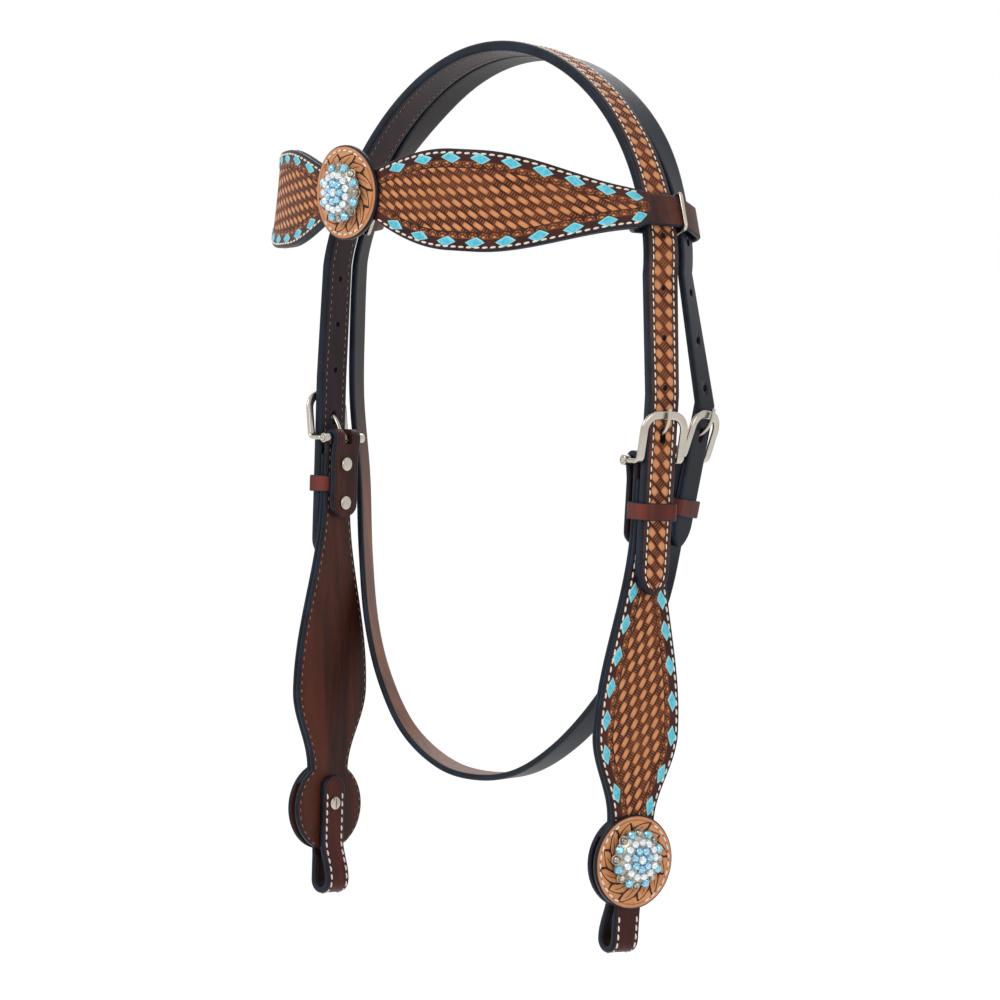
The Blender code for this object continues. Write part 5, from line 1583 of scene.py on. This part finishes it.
def dress_browband():
    """Browband lining with loops, tooled face, rosette, trim and rings."""
    arc = brow_arc()
    rows = brow_rows(arc, 1)
    thick = BROW_PLY / 2
    lining = whole_strip(rows, brow_rows(arc, -1), -thick, thick)
    back = ribbon("browband_back", lining, BROW_LINING)
    settle(back, "browband", "browband_lining", slot="mahogany_leather")
    face_rows = rows[: len(arc) + 1]
    low = thick + SEAT_GAP + TOOLED_PLY
    face = whole_strip(face_rows, face_rows, thick + 0.05 * MM, low)
    front = ribbon("browband_front", face, PANEL, TOOLED_EDGE, 16)
    settle(front, "browband", "browband_tooled_ply")
    place = rosette_place(face)
    top = low + SEAT_GAP + DISK_PLY
    disk = disc("browband_round", place, ROSETTE_RADIUS, low + 0.05 * MM, top, DISK)
    settle(disk, "browband", "browband_rosette")
    dress_browband_trim(face, lining, place, top)
    dress_loop_rings()
    point, up, outward = rows[0][0]
    turned = (up.cross(outward), up, outward)
    dress_concho("browband_concho", standing_axes(point + outward * (top + SEAT_GAP), *turned), "browband")
    dress_screw("browband_screw", standing_axes(point - outward * (thick + SEAT_GAP), *turned), "browband")


def rosette_place(face):
    """Where a point of the rosette lies on the bent browband, X along and Y up."""

    def place(x, y, level):
        point, across, outward, _ = face.place(x)
        return point + across * y + outward * level

    return place


def dress_browband_trim(face, lining, place, top):
    """Stitches and lace of the browband."""
    rows = []
    inner = []
    for sign in (-1, 1):
        rows.append(face.row(sign, STITCH_INSET, BROW_STITCH_START, BROW_STITCH_END))
        rows.append(face.row(sign, STITCH_INSET, -BROW_STITCH_END, -BROW_STITCH_START))
        inner.append(lining.row(sign, STITCH_INSET, -BROW_STITCH_END, BROW_STITCH_END, False))
    rows += ring_rows(place, top, (38, 142), (218, 322))
    stitches("browband_stitches", rows, "browband", THREAD)
    stitches("browband_lining_stitches", inner, "browband", THREAD_PAINTED_SHADE, *DIM_STITCH)
    marks = []
    for number in range(BROW_LACE_COUNT):
        run = BROW_LACE_START + BROW_LACE_PITCH * number
        for sign in (-1, 1):
            marks += lace_marks(face, [run, -run], sign, -LACE_SKEW)
    lace("browband", marks, "browband", LACE)


def rounded_outline(low, high, half, corner, steps=6):
    """A rectangle with round corners, outward from low to high and half to each side."""
    outline = []
    centres = ((high - corner, half - corner), (low + corner, half - corner))
    centres += ((low + corner, corner - half), (high - corner, corner - half))
    for quarter, (out, side) in enumerate(centres):
        for angle in spread(QUARTER_TURN * quarter, QUARTER_TURN * (quarter + 1), steps):
            x, y = polar(corner, angle)
            outline.append((out + x, side + y))
    return outline


def dress_loop_rings():
    """A wire ring clenched round each browband loop between the two straps."""
    for prefix, side in (("near", 1), ("off", -1)):
        point, across, outward, up = loop_axes(side)
        middle = (STRAP_WIDTH / 2 + rear_edge(LOOP_ANGLE)[0]) / 2
        room = BROW_PLY + LOOP_CLEARANCE + SEAT_GAP + RING_WIRE
        half = LOOP_HEIGHT / 2 + SEAT_GAP + RING_WIRE
        outline = rounded_outline(-room, BILLET_PLIES + room, half, RING_CORNER)
        points = [point + across * middle + outward * out + up * rise for out, rise in outline]
        name = prefix + "_loop_ring"
        ring = tube(name, points, RING_WIRE + 0.25 * MM, NICKEL, True)
        settle(ring, "browband", prefix + "_browband_ring", slot="nickel")


def tube(name, points, radius, material, cyclic=False):
    """A round wire along points."""
    curve = bpy.data.curves.new(name, "CURVE")
    curve.dimensions = "3D"
    curve.bevel_depth = radius
    curve.bevel_resolution = 5
    curve.use_fill_caps = not cyclic
    spline = curve.splines.new("POLY")
    spline.points.add(len(points) - 1)
    for target, point in zip(spline.points, points):
        target.co = (*point, 1)
    spline.use_cyclic_u = cyclic
    item = link(name + "_wire", curve)
    graph = bpy.context.evaluated_depsgraph_get()
    mesh = bpy.data.meshes.new_from_object(item.evaluated_get(graph), depsgraph=graph)
    bpy.data.objects.remove(item, do_unlink=True)
    mesh.name = name
    mesh.shade_smooth()
    mesh.set_sharp_from_angle(angle=SHARP_ANGLE)
    return new_object(name, mesh, material)


def join(first, *others):
    """Put several mesh objects into the first one."""
    bm = bmesh.new()
    for item in (first, *others):
        mesh = item.data.copy()
        mesh.transform(item.matrix_world)
        bm.from_mesh(mesh)
        bpy.data.meshes.remove(mesh)
    bm.to_mesh(first.data)
    bm.free()
    for item in others:
        bpy.data.objects.remove(item, do_unlink=True)
    return first


def frame_route(half, billet_out):
    """Places along a buckle frame, from one knuckle out, up, over the crossbar and back."""
    side = half + FRAME_SLACK + FRAME_STOCK / 2
    crossbar = billet_out + CROSSBAR_GAP + FRAME_PLY / 2
    lean = math.tan(FRAME_LEAN)
    heel = crossbar - FRAME_RISE * lean
    start = (KNUCKLE_BORE + KNUCKLE_RADIUS) / 2
    keys = [((out, side, 0), (0, 1, 0)) for out in spread(start, heel - HEEL_RADIUS, 4)[:-1]]
    for angle in spread(0, QUARTER_TURN - FRAME_LEAN, 8):
        rise, out = polar(HEEL_RADIUS, angle)
        keys.append(((heel - HEEL_RADIUS + out, side, HEEL_RADIUS - rise), (0, 1, 0)))
    for angle in spread(0, QUARTER_TURN, 16):
        inward, up = polar(1, angle)
        rise = FRAME_RISE - FRAME_CORNER + FRAME_CORNER * up
        place = (heel + rise * lean, side - FRAME_CORNER + FRAME_CORNER * inward, rise)
        keys.append((place, (lean * up, inward, up)))
    keys = [tuple(Vector(part) for part in key) for key in keys]
    keys += [tuple(MIRROR_Y @ part for part in key) for key in reversed(keys)]
    return places_along(*zip(*keys))


def turn_place(axes, place):
    """A local place in the row frame."""
    turn = axes.to_3x3()
    return axes @ place[0], turn @ place[1], turn @ place[2]


def across_axis(axes, side):
    """A matrix whose Z is the buckle bar's direction, at a distance along it."""
    return axes @ Matrix.Translation((0, side, 0)) @ Matrix.Rotation(-QUARTER_TURN, 4, "X")


def collar(radius, bore, half, rounding):
    """The profile of a short bored sleeve with rounded shoulders."""
    profile = [(bore, -half), (radius - rounding, -half)]
    for angle in spread(0, QUARTER_TURN, 3, 1):
        down, out = polar(rounding, angle)
        profile.append((radius - rounding + out, -half + rounding - down))
    profile += [(reach, -height) for reach, height in reversed(profile)]
    return profile + [profile[0]]


def dress_buckle(prefix, axes, half, billet_out):
    """One buckle's frame, bar and tongue."""
    rows = [(turn_place(axes, place), FRAME_STOCK / 2) for place in frame_route(half, billet_out)]
    strip = Strip(rows, -FRAME_PLY / 2, FRAME_PLY / 2)
    body = ribbon(prefix + "_frame_polished", strip, NICKEL, FRAME_PLY / 2, 6)
    side = half + FRAME_SLACK + FRAME_STOCK / 2
    profile = collar(KNUCKLE_RADIUS - 0.3 * MM, KNUCKLE_BORE, FRAME_STOCK / 2, 0.6 * MM)
    join(body, *(lathe("collar", profile, NICKEL, across_axis(axes, place)) for place in (side, -side)))
    settle(body, prefix + "_frame", prefix + "_buckle_frame", slot="nickel")
    reach = side + FRAME_STOCK / 2 + 0.5 * MM
    profile = [(0, -reach), (BAR_RADIUS * 0.8, -reach), (BAR_RADIUS, -reach + 0.3 * MM)]
    profile += [(radius, -height) for radius, height in reversed(profile)]
    bar = lathe(prefix + "_bar_pin", profile, NICKEL, across_axis(axes, 0))
    settle(bar, "headstall", prefix + "_buckle_bar", slot="nickel")
    rest = billet_out + CROSSBAR_GAP + FRAME_PLY + CROSSBAR_GAP + TONGUE_RADIUS
    keys = [Vector((out * rest, 0, up * FRAME_RISE)) for out, up in TONGUE_SHARES]
    keys = [keys[0] * 2 - keys[1]] + keys + [keys[-1] * 2 - keys[-2]]
    points = [axes @ point for point in smooth_curve(keys, 6)]
    tongue = tube(prefix + "_tongue_polished", points, TONGUE_RADIUS, NICKEL)
    profile = collar(TONGUE_KNUCKLE, KNUCKLE_BORE, TONGUE_WIDTH / 2, 0.5 * MM)
    join(tongue, lathe("collar", profile, NICKEL, across_axis(axes, 0)))
    settle(tongue, prefix + "_tongue", prefix + "_buckle_tongue", slot="nickel")


def outward_axis(axes, outward, up):
    """A matrix that stands a turned piece on the outward axis of a buckle's frame."""
    return axes @ Matrix.Translation((outward, 0, up)) @ Matrix.Rotation(QUARTER_TURN, 4, "Y")


def dress_rivets(prefix, axes, head_in, burr_top):
    """Two rivets with domed heads inside and burrs outside."""
    burr_foot = burr_top - BURR_HEIGHT
    profile = [(0, burr_top), (BURR_RADIUS - 0.4 * MM, burr_top), (BURR_RADIUS, burr_top - 0.3 * MM)]
    profile += [(BURR_RADIUS, burr_foot), (RIVET_SHANK, burr_foot), (RIVET_SHANK, head_in)]
    profile.append((RIVET_HEAD_RADIUS - 0.2 * MM, head_in))
    profile += dome_profile(RIVET_HEAD_RADIUS, head_in - HEAD_RIM, HEAD_RIM - RIVET_HEAD_HEIGHT)
    for number, drop in enumerate(RIVET_DROPS, 1):
        rivet = lathe(f"{prefix}_domed_rivet_{number}", profile, NICKEL, outward_axis(axes, 0, -drop))
        settle(rivet, "headstall", f"{prefix}_rivet_{number}", slot="nickel")


def dress_screw(name, matrix, body):
    """A slotted screw head facing down its axis."""
    head = SCREW_HEAD_HEIGHT
    profile = [(0, SCREW_RISE), (SCREW_SHANK, SCREW_RISE), (SCREW_SHANK, 0)]
    profile.append((SCREW_HEAD_RADIUS - 0.1 * MM, 0))
    profile += dome_profile(SCREW_HEAD_RADIUS, -SCREW_RIM, SCREW_RIM - head)
    screw = lathe(name + "_head", profile, NICKEL, matrix, 40)
    half = SCREW_HEAD_RADIUS + MM
    slot_half = SCREW_SLOT_WIDTH / 2
    outline = [(slot_half, -half), (slot_half, half), (-slot_half, half), (-slot_half, -half)]
    turn = matrix @ Matrix.Rotation(QUARTER_TURN, 4, "Y")
    cut(screw, cutter_prism(turn, head - SCREW_SLOT_DEPTH, head + MM, outline))
    settle(screw, body, name, slot="nickel")


def standing(matrix, point, outward):
    """A matrix at a point of another one, its Z axis turned outward."""
    turn = outward.normalized().to_track_quat("Z", "Y").to_matrix().to_4x4()
    return matrix @ Matrix.Translation(point) @ turn


def dome_spot(matrix, radius, angle):
    """A matrix standing on a concho's dome at a radius and an angle."""
    rise = CONCHO_HEIGHT - CONCHO_RIM - STONE_INSET
    share = radius / CONCHO_RADIUS
    fall = math.sqrt(1 - share * share)
    slope = rise * share / (CONCHO_RADIUS * fall)
    outward = Vector((*polar(slope, angle), 1)).normalized().lerp(Vector((0, 0, 1)), STONE_UPRIGHT)
    return standing(matrix, (*polar(radius, angle), CONCHO_RIM + rise * fall), outward)


def rim_spots(matrix, turn, level):
    """Matrices round a concho's rim, the first turned on by a share of a step."""
    spots = []
    for angle in fan(CONCHO_BEADS, turn):
        point = (*polar(CONCHO_RADIUS - BEAD_INSET, angle), level)
        spots.append(standing(matrix, point, Vector((*polar(1, angle), BEAD_TILT))))
    return spots


def add_gem(bm, matrix, radius, height):
    """A cut stone: table, crown facets and girdle."""
    rows = []
    for scale, level, turn in ((1.0, -0.35, 0), (1.0, 0.12, 0), (0.82, 0.62, 0.5), (0.46, 1.0, 0)):
        spots = [Vector((*polar(radius * scale, angle), height * level)) for angle in fan(GEM_SIDES, turn)]
        rows.append([bm.verts.new(matrix @ spot) for spot in spots])
    foot, girdle, crown, table = rows
    for a in range(GEM_SIDES):
        b = (a + 1) % GEM_SIDES
        bm.faces.new((foot[a], foot[b], girdle[b], girdle[a]))
        bm.faces.new((girdle[a], girdle[b], crown[a]))
        bm.faces.new((crown[a], girdle[b], crown[b]))
        bm.faces.new((crown[a], crown[b], table[b]))
        bm.faces.new((crown[a], table[b], table[a]))
    bm.faces.new(table)
    bm.faces.new(foot[::-1])


def add_bead(bm, matrix, radius):
    """A cast bead in its scalloped cup."""
    cup = [(share * radius, height * radius) for share, height in BEAD_CUP]
    add_lathe(bm, cup, matrix, BEAD_SIDES)
    ball = dome_profile(radius * 0.92, 0, radius * 0.95)
    add_lathe(bm, ball[::-1], matrix, BEAD_SIDES)


def gem_mesh(name, spots, material, body):
    """One mesh of cut stones at (matrix, (radius, height)) spots."""
    bm = bmesh.new()
    for matrix, size in spots:
        add_gem(bm, matrix, *size)
    settle(new_object(name, store(bm, name), material), body, slot="antique_pewter")


def dress_concho(name, matrix, body):
    """A berry concho: cast base, rim beads and rings of cut stones."""
    bm = bmesh.new()
    radius = CONCHO_RADIUS - CAST_INSET
    dome = dome_profile(radius, CONCHO_RIM, CONCHO_HEIGHT - CONCHO_RIM - CAST_INSET, 12)
    add_lathe(bm, [*dome[::-1], (radius, 0), (0, 0)], matrix, 64)
    for spot in rim_spots(matrix, 0, BEAD_LEVEL):
        add_bead(bm, spot, BEAD_RADIUS)
    cast = new_object(name + "_cast", store(bm, name + "_cast", False), PEWTER)
    settle(cast, body, name, slot="antique_pewter")
    teal = [(spot, TEAL_STONE) for spot in rim_spots(matrix, 0.5, TEAL_LEVEL)]
    gem_mesh(name + "_teal_stones", teal, TEAL, body)
    clear = [(dome_spot(matrix, CLEAR_RING, angle), CLEAR_STONE) for angle in fan(CLEAR_STONES, 0.5)]
    clear.append((dome_spot(matrix, 0.0, 0.0), MIDDLE_STONE))
    gem_mesh(name + "_clear_stones", clear, CLEAR, body)
    sky = [(dome_spot(matrix, SKY_RING, angle), SKY_STONE) for angle in fan(SKY_STONES)]
    gem_mesh(name + "_sky_stones", sky, SKY, body)


def dress_keeper(prefix, axes, half, low, high):
    """A closed leather loop round a strap and its billet."""
    middle = KEEPER_PLY / 2
    side = half + KEEPER_SLACK + middle
    outline = rounded_outline(low - middle, high + middle, side, KEEPER_CORNER + middle)
    points = [axes @ Vector((out, across, -KEEPER_DROP)) for out, across in outline]
    centre = axes @ Vector(((low + high) / 2, 0, -KEEPER_DROP))
    up = axes.to_3x3() @ Vector((0, 0, 1))
    rows = []
    for index, point in enumerate(points):
        along = (points[(index + 1) % len(points)] - points[index - 1]).normalized()
        outward = up.cross(along).normalized()
        if outward.dot(point - centre) < 0:
            outward = -outward
        rows.append(((point, up, outward), KEEPER_HEIGHT / 2))
    strip = Strip(rows, -middle, middle)
    loop = ribbon(prefix + "_keeper_loop", strip, KEEPER_LEATHER, KEEPER_EDGE, 6, True)
    settle(loop, "headstall", prefix + "_keeper", slot="keeper_leather")


def dress_headstall():
    """Every piece of the headstall."""
    dress_crown()
    dress_browband()
    head_in = LINING_IN - KEEPER_ROOM - LINING_PLY
    for prefix, axes in (("near", NEAR_FRAME), ("off", OFF_FRAME)):
        dress_cheek(prefix, axes)
        dress_buckle(prefix, axes, STRAP_WIDTH / 2, BILLET_OUT)
        dress_keeper(prefix, axes, STRAP_WIDTH / 2, LINING_IN - SEAT_GAP, BILLET_OUT + SEAT_GAP)
        dress_rivets(prefix, axes, head_in - SEAT_GAP, OVERLAY_OUT - SEAT_GAP / 2)
        concho_axes = outward_axis(axes, DISK_OUT + SEAT_GAP, -SCREW_DROP)
        dress_concho(prefix + "_cheek_concho", concho_axes, "headstall")
        head = LINING_IN - SEAT_GAP - BIT_PLY - SEAT_GAP
        dress_screw(prefix + "_cheek_screw", outward_axis(axes, head, -SCREW_DROP), "headstall")
    half = THROAT_WIDTH / 2
    dress_buckle("throat", THROAT_FRAME, half, THROAT_BILLET_OUT)
    dress_keeper("throat", THROAT_FRAME, half, FOLD_RADIUS - SEAT_GAP, THROAT_BILLET_OUT + SEAT_GAP)
    head_in = FOLD_RADIUS - KEEPER_ROOM - THROAT_PLY - SEAT_GAP
    dress_rivets("throat", THROAT_FRAME, head_in, THROAT_OUT - SEAT_GAP / 2)


def camera_rays(tree):
    """1 for rays that see the background itself or its mirror image, else 0."""
    path = tree.nodes.new("ShaderNodeLightPath")
    seen = Value(tree, path.outputs["Is Camera Ray"])
    seen = seen.most(Value(tree, path.outputs["Is Glossy Ray"]))
    return seen.most(Value(tree, path.outputs["Is Transmission Ray"]))


def set_world():
    """A white room that lights the object at a plain level."""
    world = bpy.data.worlds.new("studio")
    world.use_nodes = True
    bpy.context.scene.world = world
    tree = world.node_tree
    background = tree.nodes["Background"]
    background.inputs["Color"].default_value = WHITE
    strength = camera_rays(tree) * (1 - ROOM_LIGHT) + ROOM_LIGHT
    tree.links.new(strength.socket, background.inputs["Strength"])


def set_floor():
    """A wide white floor well below the hanging headstall, which keeps its shadow."""
    bm = bmesh.new()
    bmesh.ops.create_grid(bm, x_segments=8, y_segments=8, size=30)
    paint = Paint("floor_white")
    tint = paint.mix(paint.noise(3, 2, 0.5), FLOOR_DARK, FLOOR_LIGHT)
    paint.finish(tint, 0.9)
    paint.shader.inputs["Emission Color"].default_value = WHITE
    paint.feed(camera_rays(paint.tree) * FLOOR_GLOW, paint.shader.inputs["Emission Strength"])
    floor = new_object("floor", store(bm, "floor", False), paint.material)
    floor.location = (0, 0, FLOOR_LEVEL)


def set_lamps():
    """Soft square lamps, each aimed at a point."""
    for name, place, target, size, power in LAMPS:
        data = bpy.data.lights.new(name, "AREA")
        data.shape = "RECTANGLE"
        data.size = size
        data.size_y = size
        data.energy = power
        lamp = link(name, data)
        lamp.location = place
        lamp.rotation_euler = (Vector(target) - Vector(place)).to_track_quat("-Z", "Y").to_euler()


def set_camera():
    """The photograph's viewing angle and framing."""
    data = bpy.data.cameras.new("camera")
    data.lens = CAMERA_LENS
    data.sensor_width = CAMERA_SENSOR
    camera = link("camera", data)
    camera.location = CAMERA_PLACE
    forward, left = polar(math.cos(CAMERA_PITCH), CAMERA_AZIMUTH)
    view = Vector((-left, forward, -math.sin(CAMERA_PITCH)))
    camera.rotation_euler = view.to_track_quat("-Z", "Y").to_euler()
    bpy.context.scene.camera = camera
    bpy.context.scene.view_settings.view_transform = "Standard"


set_world()
set_floor()
set_lamps()
set_camera()
dress_headstall()
